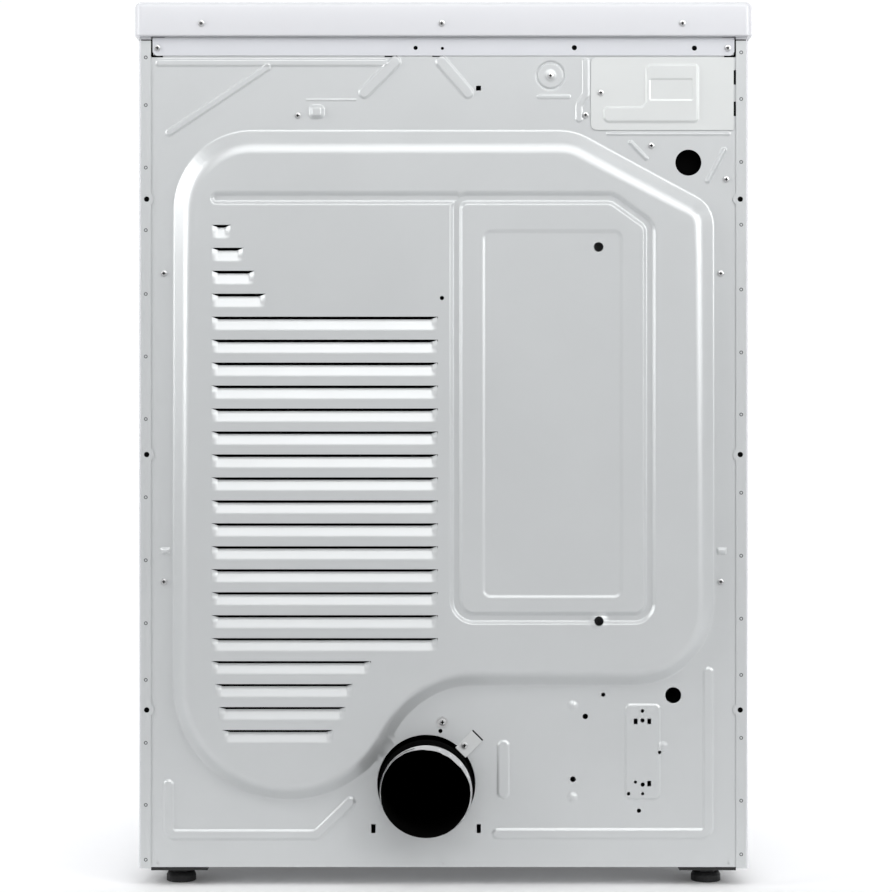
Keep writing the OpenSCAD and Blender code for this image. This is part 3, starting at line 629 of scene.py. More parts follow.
# Round holes of the rear panel: x, z and radius.
SMALL_HOLES = (
    (-255.5, 212.8, 8.9), (-171.7, 710.3, 5.3), (-172, 296.3, 5.2), (1.7, 653.7, 2.4),
    (317.5, 26.5, 1.7), (0.5, 26.5, 1.7), (-316.5, 26.5, 1.7), (3.4, 173, 2.4),
    (-177.7, 213.4, 2.4), (-157.7, 189.2, 3.1), (-144, 119.3, 3.2), (-217.4, 84.4, 2.4),
    (-221.2, 195.5, 2), (-240.3, 149.4, 2), (-213.4, 116.4, 1.8), (-221.5, 113.7, 2.4),
    (-205.8, 103.4, 2), (-221.5, 103.4, 1.8), (-221.2, 184.9, 2.4),
)
# Square holes: x, z, width and height.
SLOTS = ((-39, 888, 5.5, 5.5), (78, 64.4, 4.8, 10), (-39.2, 64.4, 4.8, 10),
         (-213.6, 183.9, 4.3, 6.2), (-228.7, 183.9, 4.3, 6.2), (-228.7, 114.7, 4.3, 6.2))
STEP = 1.6
FINE_SHARE = 0.55


def louvre_right(i):
    """Right-hand end of louvre i: the rows step along the corner and the lobe."""
    if i < 4:
        return (234.4, 220.4, 208.2, 195.8)[i]
    return 5.8 if i < 19 else (80.0, 99.5, 107.7, 121.5)[i - 19]


def louvre_left(i):
    return LOUVRE_LEFT - max(0, i - 19) * 4.0


def plateau_outline():
    """A big rectangle with a chamfered corner, and a round lobe that hangs from it by a neck."""
    half_w, top, bottom, lobe_r, neck_r, tilt = 301.5, 842, 223, 130, 101.7, math.radians(26.8)
    lobe = np.array([half_w - lobe_r, bottom + 2.7])
    touch = lobe - lobe_r * np.array([math.cos(tilt), math.sin(tilt)])
    slope = math.tan(tilt)
    low = lobe[1] - lobe_r
    return rounded([
        (half_w, top, 89), (-146, top, 67), (-half_w, 757.5, 38), (-half_w, bottom, 90),
        (touch[0] - (bottom - touch[1]) * slope, bottom, neck_r),
        (touch[0] - (low - touch[1]) * slope, low, lobe_r), (half_w, low, lobe_r),
    ], steps=20)


def raise_plateau(sheet):
    """The flank is widest at the top; its crown is half of it, and its foot is tight."""
    outline = plateau_outline()
    heights, ramps = zip(*PLATEAU_RAMPS)

    def rise(x, z):
        ramp = np.interp(z, heights, ramps)
        return PLATEAU_RISE * flank(depth_inside(x, z, outline) / ramp, 0.1, 0.5)

    sheet.relief(outline, rise)


def press_louvres(sheet):
    for i in range(LOUVRES):
        top = LOUVRE_TOP - i * LOUVRE_PITCH
        left, right = louvre_left(i), louvre_right(i)
        base = top - LOUVRE_HEIGHT
        lip = top - SLIT

        def press(x, z, left=left, right=right, base=base, lip=lip, top=top):
            rise = pressed_ramp((z - base) / (lip - base), 0.2)
            ends = pressed_ramp(np.minimum(x - right, left - x) / LOUVRE_ENDS, 0.12)
            return -LOUVRE_DEPTH * rise * ends * (z < top - 0.01)

        sheet.relief([(right, base), (left, top)], press)
        sheet.slit(right + 0.5, left - 0.5, lip, top, LOUVRE_ENDS)
        sheet.z_lines += [base, (base + lip) / 2]
        sheet.x_lines += [left, right]


def press_groove(sheet):
    """One groove around the right-hand field, with a tail over the louvres."""
    loop = rounded([(-14.1, 764.4, 12), (-187, 764.4, 16), (-228, 735, 16), (-228, 299.5, 17),
                    (-14.1, 299.5, 20)])
    tail = np.array([(251, 764.4), (-14.1, 764.4)])

    def groove(x, z):
        near = np.minimum(path_distance(x, z, loop, True), path_distance(x, z, tail))
        return -GROOVE_DEPTH * flank((GROOVE_HALF - near) / GROOVE_FLANK, 0.25, 0.25)

    sheet.relief([(-237, 290), (260, 774)], groove)
    sheet.pad(rectangle(-199, 321, -42, 730, 10), 5, -1.5)


def press_top_marks(sheet):
    sheet.bead([(66, 916.2), (316, 916.2)], 9.5, 1.5, 0.25)
    sheet.bead([(196, 911), (305, 838.5)], 9.5, 1.5, 0.25)
    sheet.bead([(54, 917), (88, 883)], 15, 2.0, 0.2)
    sheet.bead([(2, 917), (-27, 883)], 15, 2.0, 0.2)
    sheet.pad(rectangle(132, 853, 150, 870, 6), 5, 5)
    sheet.bead([(98, 875), (152, 875)], 3, 0.8)
    sheet.bead(circle(-119, 902, 15), 4, -1.8, closed=True)
    sheet.bump(-119, 902, 8, 1.5)
    sheet.bead([(-106, 878.5), (-139, 878.5)], 6, 1.0, 0.3)
    sheet.bead(rounded([(-158, 917, 0), (-158, 881, 8), (-150.6, 869, 8), (-150.6, 854, 0)],
                       closed=False), 9, 1.4, 0.25)
    sheet.bead([(-183, 837), (-317, 837)], 5, 1.4)
    sheet.bead([(-208, 827.5), (-225, 810)], 6, 2.4)
    sheet.bead([(-312, 819), (-294, 785)], 7, 3.0)


def press_low_marks(sheet):
    for side in (-1, 1):
        x = side * 309.5
        sheet.pad(rectangle(x - 6, 368.5, x + 6, 377.5, 2.5), 3, 2.2)
    sheet.bead([(-66.7, 156), (-66.7, 105)], 15.5, 1.8, 0.2)
    sheet.bead(rounded([(-294.5, 238, 0), (-294.5, 58.8, 8), (-60, 58.8, 0)], closed=False),
               13.5, 1.8, 0.25)
    sheet.bead(rounded([(305.7, 113, 0), (305.7, 57.7, 8), (141, 57.7, 10), (104, 94, 0)],
                       closed=False), 13.5, 1.8, 0.25)
    sheet.pad(rectangle(-242, 96, -201, 204, 7), 3, 1.6)
    for x, z, radius, rise in ((-172, 296.3, 13, 3.5), (-143.6, 201, 7, 2.2),
                               (-143.6, 99.3, 7, 2.2), (-244, 156, 7, 1.6)):
        sheet.bump(x, z, radius, rise)


def make_rear_panel():
    step = STEP
    fine = step * FINE_SHARE
    sheet = Sheet(-334, 334, 22, 941, PANEL_Y, step)
    sheet.z_lines += list(np.arange(800, 924, fine))
    for low, high in ((-305, -195), (-160, -100), (-36, 9), (46, 96)):
        sheet.x_lines += list(np.arange(low, high, fine))
    # Lines that keep the squares around the holes by the exhaust apart from its own.
    sheet.x_lines += [74.65, -36.15]
    sheet.z_lines += [169.7]
    raise_plateau(sheet)
    press_louvres(sheet)
    press_groove(sheet)
    press_top_marks(sheet)
    press_low_marks(sheet)
    sheet.hole(*EXHAUST, EXHAUST_HOLE)
    sheet.hole(*CORD_HOLE, CORD_HOLE_R)
    for x, z, radius in SMALL_HOLES:
        sheet.hole(x, z, radius)
    for slot in SLOTS:
        sheet.slot(*slot)
    sheet.build("pressed_rear_panel", replaces=["rear_panel"])


# ---- the dark inside ----

def disc(name, x, z, radius, y=BACKING_Y):
    """A dark backing close behind a hole, for the unlit inside."""
    flat(name, circle(x, z, radius, 24), y, 1, material="dark_inside")


def shade_gap(name, side, xs, zs):
    """The dark inside that shows through a joint between two sheets."""
    low, high = sorted((side * xs[0], side * xs[1]))
    bevelled_box("%s_%s" % (name, side_name(side)), (low, 341, zs[0]), (high, 344.5, zs[1]), 0.1,
                 material="dark_inside")


def make_dark_liners():
    """Closes the view through the louvres and the cord's hole, where the cabinet is unlit."""
    for name, low, high in (("upper", (-1, 255), (264, 741)), ("lower", (76, 163), (258, 254.5))):
        bevelled_box("louvre_backing_" + name, (low[0], BACKING_Y, low[1]),
                     (high[0], 345.6, high[1]), 0.3, material="dark_inside")
    x, z = CORD_HOLE
    cup = [(0, 330), (16.5, 330), (16.5, 342.9), (15.5, 342.9), (15.5, 331), (0, 331)]
    turned("cord_hole_cup", (x, 0, z), cup, count=48, material="dark_inside")


# ---- brace, cover, side and top panels ----

FLANGE_HOLES = (196.5, 480.5, 764.5)
CLINCHES = {1: (922, 869, 799.5, 730, 659, 589.5, 520, 433, 363, 293, 230, 160, 91, 30),
            -1: (927.6, 875.8, 805.8, 736, 664, 594, 525, 438, 368, 298, 235.5, 165.5, 95.7, 36)}


def side_name(side):
    return "right" if side > 0 else "left"


def make_rear_brace():
    sheet = Sheet(-324, 324, 924, 944, REAR_PLANE, 1.6)
    holes = ((31, 932.7, 2.4), (1.2, 932.1, 1.8), (-145.5, 932.9, 2.9), (-279, 932.4, 2.9))
    for k, (x, z, radius) in enumerate(holes):
        sheet.hole(x, z, radius)
        disc("brace_hole_%d" % k, x, z, radius + 0.4)
    sheet.outline = rounded([(-323.4, 924, 5), (323.4, 924, 5), (323.4, 944.4, 0.5),
                             (-323.4, 944.4, 0.5)])
    sheet.build("rear_brace_face", material="brace_sheet", replaces=["rear_top_brace"])
    bevelled_box("rear_brace_flange", (-310, 301, 944), (310, 344.6, 944.9), 0.3)
    shade_gap("bead_gap_a", 1, (51.5, 65.5), (922.6, 924.4))
    shade_gap("bead_gap_b", 1, (0.5, 12.5), (922.9, 924.4))
    for side in (-1, 1):
        shade_gap("flange_top_gap", side, (324.2, 338.2), (940.4, 942.0))
        shade_gap("brace_end_gap", side, (322.8, 325.2), (923.2, 941))
        shade_gap("brace_corner_gap", side, (312, 324.6), (922.4, 924.6))
        low, high = sorted((side * 325, side * 338.3))
        bevelled_box("side_top_hem_" + side_name(side), (low, 340, 942),
                     (high, REAR_PLANE - 0.1, 945.2), 0.2, slot="white_paint")


def make_terminal_cover():
    x0, z0, x1, z1 = -322.6, 841.2, -163.9, 922.1
    sheet = Sheet(x0, x1, z0, z1, REAR_PLANE, 1.0)
    sheet.outline = rounded([(x0, z0, 1.5), (x1, z0, 6), (x1, z1, 6), (x0, z1, 1.5)])
    sheet.pad(rounded([(-284, 849, 5), (-177, 849, 7), (-177, 868, 7), (-224, 868, 6),
                       (-224, 915, 7), (-284, 915, 5)]), 2.6, 2.2)
    sheet.pad(rectangle(-277.5, 873.5, -228.5, 898.5, 2.5), 1.8, -0.9)
    for k, zs in enumerate(((857, 873), (892, 908))):
        shade_gap("cover_notch_%d" % k, -1, (322.2, 325.4), zs)
    sheet.build("terminal_cover_plate", material="cover_sheet", replaces=["terminal_cover"])


def clinch_shade_rings(side):
    """Dark rings of painted shade on the flange, where it is joined to the sheet under it: the
    shade of each pressed clinch.
    """
    verts, faces = [], []
    count = 20
    for z in CLINCHES[side]:
        base = len(verts)
        for radius in (1.1, 2.1):
            verts += [(px, REAR_PLANE + 0.01, pz)
                      for px, pz in circle(side * 331, z, radius, count)]
        for k in range(count):
            following = (k + 1) % count
            faces.append([base + k, base + following, base + count + following, base + count + k])
    add_piece("flange_clinch_shade_" + side_name(side), verts, faces, material="mark_grey")


def make_flange(side):
    """The rear flange of a side panel. Its inner edge swells around each of its three holes."""
    inner, outer, low, high = 324.8, 336.9, 20.5, 940.7
    lobe, hole_x = 8.2, 330.0
    edge = [(outer, low), (outer, high), (inner, high)]
    swing = math.acos((hole_x - inner) / lobe)
    for z in FLANGE_HOLES[::-1]:
        edge += [(hole_x - lobe * math.cos(a), z + lobe * math.sin(a))
                 for a in np.linspace(swing, -swing, 9)]
    edge.append((inner, low))
    x0, x1 = sorted((side * 321.4, side * outer))
    sheet = Sheet(x0, x1, low, high, REAR_PLANE - 0.02, 1.3)
    sheet.outline = np.array([(side * x, z) for x, z in edge])
    clinch_shade_rings(side)
    for z in FLANGE_HOLES:
        sheet.hole(side * hole_x, z, 3)
    sheet.build("rear_flange_" + side_name(side))
    for z in FLANGE_HOLES:
        disc("flange_hole_%s_%d" % (side_name(side), z), side * hole_x, z, 3.4, BACKING_Y - 0.1)


def make_side_panel(side):
    """Wall and corners as one bent sheet; the rear flange is its own piece of the same panel."""
    outer, front, rear = 338.5, -322.0, REAR_PLANE
    plan = rounded([
        (320, front, 0.3), (outer, front, 3.5), (outer, rear, 2.2), (336.6, rear, 0.1),
        (336.6, rear - 1, 0.1), (outer - 1, rear - 1, 1.2), (outer - 1, front + 1, 2.5),
        (320, front + 1, 0.3),
    ], steps=5)
    name = side_name(side) + "_side_panel"
    loft(name + "_wall", [[(side * x, y, z) for x, y in plan] for z in (20.5, 944.9)],
         slot="white_paint", replaces=[name])
    make_flange(side)


def make_top_panel():
    """A deep-drawn top: round corners and upper edges, and a softened hem."""
    low, high = (-343, -345, 945), (343, 352, 983)
    shape = new_box(low, high)
    bevel(shape, [e for e in shape.edges if abs(e.verts[0].co.z - e.verts[1].co.z) > 10], 9, 8)
    crown = [e for e in shape.edges if min(v.co.z for v in e.verts) > high[2] - 3
             and len(e.link_faces) == 2 and any(abs(f.normal.z) < 0.5 for f in e.link_faces)]
    bevel(shape, crown, 6, 6)
    hem = [e for e in shape.edges if max(v.co.z for v in e.verts) < low[2] + 0.1]
    bevel(shape, hem, 1.5, 3)
    finish_box(shape, "top_panel_shell", slot="white_paint", smooth_angle=50,
               replaces=["top_panel"])


# ---- screws ----

def make_screw(name, x, z, y, radius=4.2, washer=0.0, body="cabinet", facing=1):
    """A pan-head screw; its cross recess is a flat dark cross of painted shade on the head."""
    rise = 2.4
    profile = [(0, rise - 0.05), (radius * 0.5, rise - 0.15), (radius * 0.85, rise * 0.72),
               (radius, rise * 0.35), (radius, 0.0), (0, 0.0)]
    if washer:
        profile = profile[:4] + [(radius, 0.9), (washer, 0.8), (washer, 0.0), (0, 0.0)]
    turned(name, (x, y, z), [(r, facing * h) for r, h in profile], count=28, body=body,
           slot="screw_zinc")
    wide, long = radius * 0.16, radius * 0.55
    for k, (w, h) in enumerate(((wide, long), (long, wide))):
        # Painted shade: two flat near-black bars stand for the shade down the cross recess.
        flat(name + "_recess_%d" % k, rectangle(x - w, z - h, x + w, z + h, wide * 0.6),
             y + facing * (rise + 0.02), facing, body=body, slot="screw_zinc",
             material="dark_inside")


# Each rear screw: x, z, y of its seat, head radius and washer radius.
REAR_SCREWS = [(x, 958.6, 352, 3.6, 0) for x in (268.5, 1.9, -265)]
REAR_SCREWS += [(318, 932.4, REAR_PLANE, 3.6, 0), (-316, 932.4, REAR_PLANE, 3.6, 0)]
REAR_SCREWS += [(x, z, PANEL_Y, 3.4, 0) for x, z in (
    (162, 857.6), (-158, 858), (-231, 824), (-314.4, 786.6), (310.7, 682), (-308.3, 682),
    (310.7, 339), (-308.3, 339))]
REAR_SCREWS += [(1.2, 183, PANEL_Y, 4.0, 6.2), (-119, 901.8, PANEL_Y, 3.2, 4.8),
                (-174.8, 882.6, REAR_PLANE, 3.4, 0), (-23.3, 157.2, PANEL_Y + 1.3, 3.6, 0)]


def make_rear_screws():
    for k, (x, z, y, radius, washer) in enumerate(REAR_SCREWS):
        make_screw("rear_screw_%02d" % k, x, z, y, radius, washer)
    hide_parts("rear_screws")


# ---- exhaust ----

PIPE = (19.1, 111.2)
PIPE_R = 50.8
PIPE_WALL = 0.7
PIPE_END = 382.5
# How wide the lip of foil is (mm) at angles clockwise from the top, as seen from behind: widest
# along the top and gone at the bottom, as painted light from above on the dark pipe end.
LIP_WIDTHS = ((-112, 0.1), (-95, 0.9), (-70, 1.3), (-45, 1.9), (-20, 3.4), (0, 5.0), (25, 5.6),
              (45, 5.6), (62, 4.2), (80, 2.3), (105, 1.6), (130, 1.0), (152, 0.1))


def make_exhaust():
    """The pipe, near-black inside and out as painted shade, with a bead near its root and a lip of
    foil.
    """
    x, z = PIPE
    bore, end = PIPE_R - PIPE_WALL, PIPE_END - 0.8
    pipe = [(PIPE_R, -168), (PIPE_R, 343), (PIPE_R + 1.6, 344.4), (PIPE_R + 1.6, 346),
            (PIPE_R, 347.5), (PIPE_R, end), (bore, end), (bore, -168)]
    # Painted shade: the wall and the floor deep in the bore are near-black, as the unlit inside.
    dark = dict(slot="duct_foil", material="dark_inside")
    turned("exhaust_pipe_wall", (x, 0, z), pipe, count=128, replaces=["exhaust_duct"], **dark)
    floor = [(0, -166), (bore, -166), (bore, -165), (0, -165)]
    turned("exhaust_pipe_floor", (x, 0, z), floor, count=64, **dark)
    # Painted light: the foil lip is drawn mostly along the top, where the light falls from above.
    make_lip_strip("exhaust_foil_lip", (-112, 152), (0, 1), 0, "foil_lip")
    # Painted shade: a near-black streak across part of the lip.
    make_lip_strip("exhaust_lip_tear_shade", (-84, -14), (0.34, 0.52), 0.3, "dark_inside")


def make_lip_strip(name, angle_span, width_span, lift, material):
    """A crinkled strip of the turned-in foil, between two angles and two shares of its width."""
    x, z = PIPE
    outer, inner = width_span
    angles = np.arange(angle_span[0], angle_span[1] + 0.1, 1.5)
    widths = np.interp(angles, *zip(*LIP_WIDTHS))
    sections = []
    for angle, width in zip(np.radians(angles), widths):
        ragged = 0.03 * math.sin(angle * 17) + 0.02 * math.sin(angle * 29 + 1)
        crease = 0.28 * math.sin(angle * 23) + 0.22 * math.sin(angle * 41 + 2)
        section = []
        for share, depth in ((0, 1.3), (0, 0.5), (0.12, 0.25), (0.35, 0.55 + crease),
                             (0.6, 0.5 - crease), (0.85, 0.6 + crease * 0.6), (1, 0.9), (1, 1.4)):
            across = outer + (inner - outer) * share
            radius = PIPE_R - 0.1 - width * across * (1 + ragged * share)
            section.append((x - radius * math.sin(angle), PIPE_END - max(depth - lift, 0.05),
                            z + radius * math.cos(angle)))
        sections.append(section)
    loft(name, sections, slot="duct_foil", material=material)


def make_exhaust_clip():
    """A bent steel tongue that holds the pipe's bead; near-black strips of painted shade stand for
    the slot at its outer end and for the shadow at its root.
    """
    turn, half, gauge = math.radians(45), 8.0, 1.0
    centre = np.array(PIPE)
    along = np.array([-math.sin(turn), math.cos(turn)])
    across = np.array([math.cos(turn), math.sin(turn)])

    def point(reach, w, rise):
        x, z = centre + along * reach + across * w
        return x, PANEL_Y + rise, z

    sections = []
    for reach, rise in ((53.0, 2.2), (55.5, 2.2), (57.5, 1.2), (76, 1.2), (78, 0.6), (80, 0.3)):
        sections.append([point(reach, w, rise) for w in (-half, 1 - half, half - 1, half)]
                        + [point(reach, w, rise - gauge)
                           for w in (half, half - 1, 1 - half, -half)])
    loft("exhaust_clip_tongue", sections, slot="galvanised", material="clip_steel",
         replaces=["exhaust_clip"])
    # Painted shade: the slot and the shadow are flat near-black strips.
    for name, reach, width, rise in (("slot", 80.7, 0.8, 0.35), ("shadow", 53.4, 0.35, 2.25)):
        corners = [centre + along * (reach + a) + across * b
                   for a, b in ((-width, -half), (width, -half), (width, half), (-width, half))]
        flat("exhaust_clip_" + name, corners, PANEL_Y + rise, 1, slot="galvanised",
             material="dark_inside")


# ---- feet ----

FOOT_X = 296
FRONT_FOOT_Y = -285
REAR_FOOT_Y = 305


def make_foot(side, y, name):
    centre = (side * FOOT_X, y, 0)
    rubber = dict(axis="Z", body=name, slot="rubber")
    pad = rounded_profile((0.01, 0, 0), (16.7, 0, 1.2), (16.7, 7, 1.5), (14.6, 11, 1.0),
                          (0.01, 11, 0))
    turned(name + "_pad", centre, pad, count=72, replaces=[name], flutes=24, flute_depth=0.35,
           **rubber)
    nut = [(0.01, 11), (13.4, 11), (13.4, 16.9), (12.4, 17), (0.01, 17)]
    turned(name + "_nut", centre, nut, count=6, **rubber)
    thread = [(0.01, 17), (4.9, 17)]
    thread += [(4.9 - 0.7 * (k % 2), 17.5 + k * 0.9) for k in range(52)] + [(0.01, 65)]
    turned(name + "_thread", centre, thread, count=24, material="dark_steel", **rubber)


# ---- front panel and controls ----

FRONT_Y = -330.0
FASCIA_Y = -352.0
DRUM_Z = 550.0
THROAT_R = 205.0
SEAT_R = THROAT_R + 58
KNOB = (-60, 891)
DISPLAY = (20, 882, 190, 926)
ROUND_BUTTONS = {"power_button": (-250, 891, 13), "start_button": (262, 891, 16)}
BAR_BUTTONS = {"temperature_button": (65, 862), "dryness_button": (145, 862)}
MARK_STAND = 0.04


def soften_border(sheet, radius):
    """Rounds a sheet's outer border back by a quarter circle."""
    x0, x1, z0, z1 = sheet.span
    for share in (0.03, 0.12, 0.27, 0.5, 0.75, 1.0):
        inset = radius * share
        sheet.x_lines += [x0 + inset, x1 - inset]
        sheet.z_lines += [z0 + inset, z1 - inset]

    def fall(x, z):
        depth = np.minimum(np.minimum(x - x0, x1 - x), np.minimum(z - z0, z1 - z))
        out = np.clip(radius - depth, 0, radius)
        return -(radius - np.sqrt(np.maximum(radius ** 2 - out ** 2, 0)))

    sheet.relief([(x0, z0), (x1, z1)], fall)


def make_front_panel():
    """The painted front with a shallow round seat for the door and the throat's hole."""
    sheet = Sheet(-338, 338, 24, 836, FRONT_Y, 6, 8, facing=-1)
    soften_border(sheet, 5)
    seat = circle(0, DRUM_Z, SEAT_R, 96)
    sheet.x_lines += [-SEAT_R, SEAT_R]
    sheet.relief(seat, lambda x, z: -1.5 * flank(depth_inside(x, z, seat) / 6, 0.4, 0.4))
    sheet.hole(0, DRUM_Z, THROAT_R)
    sheet.slot(-232, DRUM_Z, 12, 36)
    sheet.build("front_panel_skin", slot="white_paint", replaces=["front_panel"])


def make_fascia():
    """The control panel's moulding, with openings for the display and the buttons."""
    x0, z0, x1, z1 = DISPLAY
    sheet = Sheet(-341, 341, 838, 944.5, FASCIA_Y, 3, 27, facing=-1)
    soften_border(sheet, 7)
    sheet.x_lines += [x0 - 2, x1 + 2]
    sheet.bead(circle(*KNOB, 41, 64), 3, -0.8, closed=True)
    for x, z, radius in ROUND_BUTTONS.values():
        sheet.bead(circle(x, z, radius + 5), 2.4, -0.6, closed=True)
        sheet.hole(x, z, radius + 0.5)
    sheet.bead(rectangle(x0 - 6, 852, x1 + 6, z1 + 6, 6), 2.4, -0.6, closed=True)
    sheet.slot((x0 + x1) / 2, (z0 + z1) / 2, x1 - x0 + 0.6, z1 - z0 + 0.6)
    for x, z in BAR_BUTTONS.values():
        sheet.slot(x, z, 49, 13)
    sheet.build("fascia_skin", slot="white_plastic", replaces=["control_fascia"])


def make_knob_marks():
    """Plain dots and dashes around the knob, in place of any lettering."""
    count, reach, y = 12, 49, FASCIA_Y - 0.06
    printed = dict(slot="white_plastic", material="mark_grey")
    for k in range(count):
        heading = k * 360 / count
        turn = math.radians(90 - heading)
        x, z = KNOB[0] + reach * math.cos(turn), KNOB[1] + reach * math.sin(turn)
        if not 842 <= z <= 941:
            continue
        flat("programme_dot_%02d" % k, circle(x, z, 1.3, 20), y, -1, **printed)
        if 30 < heading % 180 < 150:
            side = 1 if math.cos(turn) > 0 else -1
            low, high = sorted((x + side * 5, x + side * (20 if k % 2 else 27)))
            flat("programme_dash_%02d" % k, rectangle(low, z - 0.7, high, z + 0.7, 0.3), y, -1,
                 **printed)


def make_display():
    """A dark window with lit bars on its face; it shows no text."""
    x0, z0, x1, z1 = DISPLAY
    bevelled_box("display_glass", (x0, FASCIA_Y, z0), (x1, FASCIA_Y + 4, z1), 0.8,
                 slot="dark_window", replaces=["display_window"])

    def lit(name, left, low, right, high):
        flat(name, rectangle(x0 + left, z0 + low, x0 + right, z0 + high, 0.6),
             FASCIA_Y - MARK_STAND, -1, slot="dark_window", material="screen_glow")

    for k in range(6):
        lit("display_bar_%d" % k, 12 + k * 7, 9, 16 + k * 7, 13 + k * 3.2)
    for k in range(4):
        left = 74 + k * 20 + (6 if k > 1 else 0)
        for name, low in (("top", 32), ("mid", 21), ("base", 10)):
            lit("display_digit_%d_%s" % (k, name), left, low, left + 10, low + 2)


def make_buttons():
    for name, (x, z, radius) in ROUND_BUTTONS.items():
        cap = rounded_profile((0.01, -2.6, 0), (radius - 4, -3.0, 3), (radius, -2.8, 1.0),
                              (radius, 5, 0), (0.01, 5, 0))
        turned(name + "_cap", (x, FASCIA_Y, z), cap, count=72, body=name, slot="silver_trim",
               replaces=[name])
        flat(name + "_mark", circle(x, z, radius * 0.2, 24), FASCIA_Y - 2.8, -1, body=name,
             slot="silver_trim", material="mark_grey")
    for name, (x, z) in BAR_BUTTONS.items():
        bevelled_box(name + "_cap", (x - 24, FASCIA_Y - 3, z - 6), (x + 24, FASCIA_Y + 4, z + 6),
                     1.6, body=name, slot="silver_trim", replaces=[name])
        flat(name + "_mark", rectangle(x - 6, z - 0.8, x + 6, z + 0.8, 0.4),
             FASCIA_Y - 3 - MARK_STAND, -1, body=name, slot="silver_trim", material="mark_grey")


def make_knob():
    """A fluted knob on a skirt, with an inlaid pointer."""
    x, z = KNOB
    centre = (x, 0, z)
    silver = dict(body="cycle_knob", slot="silver_trim")
    cap = rounded_profile((0.01, -377.4, 0), (15, -377.4, 6), (23.5, -378, 2.5), (25.5, -375, 0),
                          (20, -375, 0), (0.01, -375, 0))
    turned("knob_cap", centre, cap, replaces=["cycle_knob"], **silver)
    grip = rounded_profile((10, -375.2, 0), (26.4, -375.2, 1.2), (28, -360.5, 0), (10, -360.5, 0))
    turned("knob_grip", centre, grip, count=360, flutes=36, flute_depth=1.1, **silver)
    skirt = rounded_profile((8, -361, 0), (28.3, -361, 1.5), (32, -357, 1.0), (32, -353, 0.3),
                            (8, -353, 0))
    turned("knob_skirt", centre, skirt, **silver)
    flat("knob_pointer", rectangle(x - 1.1, z + 11, x + 1.1, z + 22.5, 0.9), -378.0, -1,
         material="mark_grey", **silver)


# ---- door ----

DOOR_Y = -382.5
DOOR_R = 255.0
HINGE_X = 266
HINGE_Y = -358.0
NOTCH_X = 235.0
NOTCH_HALF = 47.0
DRUM_AXIS = (0, 0, DRUM_Z)


def ring_with_notch(name, profile, count=192, **options):
    """A turned ring about the door's axis, cut flat behind the hinge line where the arm passes."""
    edge = math.asin(NOTCH_HALF / DOOR_R)
    angles = sorted([2 * math.pi * k / count - math.pi for k in range(count)]
                    + [side * (edge + step) for side in (-1, 1) for step in (0.0004, -0.0004)])
    sections = []
    for angle in angles:
        section = []
        for radius, y in profile:
            if abs(angle) < edge and y > HINGE_Y:
                radius = min(radius, NOTCH_X / math.cos(angle))
            section.append((radius * math.cos(angle), y, DRUM_Z + radius * math.sin(angle)))
        sections.append(section)
    loft(name, sections, ring=True, **options)


def door_profile(*corners):
    """A rounded profile whose second numbers count from the door's face."""
    return rounded_profile(*[(radius, DOOR_Y + back, r) for radius, back, r in corners])


def make_door():
    back, inner_r = DOOR_R - 3, DOOR_R - 3.6
    ring = rounded([(radius, DOOR_Y + y, r) for radius, y, r in (
        (190, 9, 1.5), (196, 2.5, 3), (225, 0, 30), (DOOR_R - 9, 2.5, 8), (DOOR_R, 12.5, 9),
        (DOOR_R, 23, 0), (DOOR_R, 26, 0), (DOOR_R, 40, 0.8), (back, 40, 0.8), (back, 24, 0),
        (back, 14.5, 0), (DOOR_R - 11, 5.5, 0), (225, 3, 0), (198, 5.5, 0), (193, 10.5, 0),
        (193, 30.5, 0), (190, 30.5, 0))], steps=5)
    ring_with_notch("door_ring", ring, body="door", slot="silver_trim",
                    replaces=["door_outer_frame"])
    trim = door_profile((191.5, 3.6, 0.8), (196.5, 1.9, 0.8), (197, 4, 0.5), (192, 6, 0.5))
    turned("door_window_trim", DRUM_AXIS, trim, count=192, body="door", slot="silver_trim",
           material="chrome_trim")
    window = door_profile((0.01, 4.5, 0), (150, 6.5, 300), (189.8, 10.5, 1), (189.8, 13.5, 1),
                          (150, 9.5, 0), (0.01, 7.5, 0))
    turned("door_window", DRUM_AXIS, window, count=192, body="door", slot="dark_window",
           replaces=["door_outer_window"])
    liner = door_profile((178, 30.5, 0.5), (inner_r, 30.5, 0.5), (inner_r, 40.5, 2),
                         (DOOR_R - 15, 42.5, 3), (232, 42.5, 1), (230, 41.2, 1), (212, 41.2, 1),
                         (210, 42.5, 1), (190, 42.5, 3), (178, 39.5, 1))
    turned("door_liner_ring", DRUM_AXIS, liner, count=160, body="door", slot="white_plastic",
           replaces=["door_inner_frame"])
    seal = door_profile((214, 42.5, 0.5), (222, 42.5, 0.5), (222, 46, 0.6), (220.5, 47.5, 0.6),
                        (222, 50, 1.2), (219, 52, 1), (214, 52, 1.2))
    turned("door_seal_lip", DRUM_AXIS, seal, count=160, body="door", slot="grey_rubber",
           replaces=["door_seal"])
    for k in range(6):
        turn, reach = math.radians(30 + 60 * k), 238.68
        make_screw("door_liner_screw_%d" % k, reach * math.cos(turn),
                   DRUM_Z + reach * math.sin(turn), DOOR_Y + 42.3, 3.4, body="door")
    for k, (dx, dz) in enumerate(((-20, -45), (20, -45), (-20, 45), (20, 45))):
        make_screw("hinge_screw_%d" % k, HINGE_X + dx, DRUM_Z + dz, FRONT_Y - 3, facing=-1)


# ---- drum ----

DRUM_R = 316.0
DRUM_FRONT = -252.0
DRUM_REAR = 285.0
DRUM_BEADS = (-190, -120, 120, 190, 235)
BAFFLES = 3


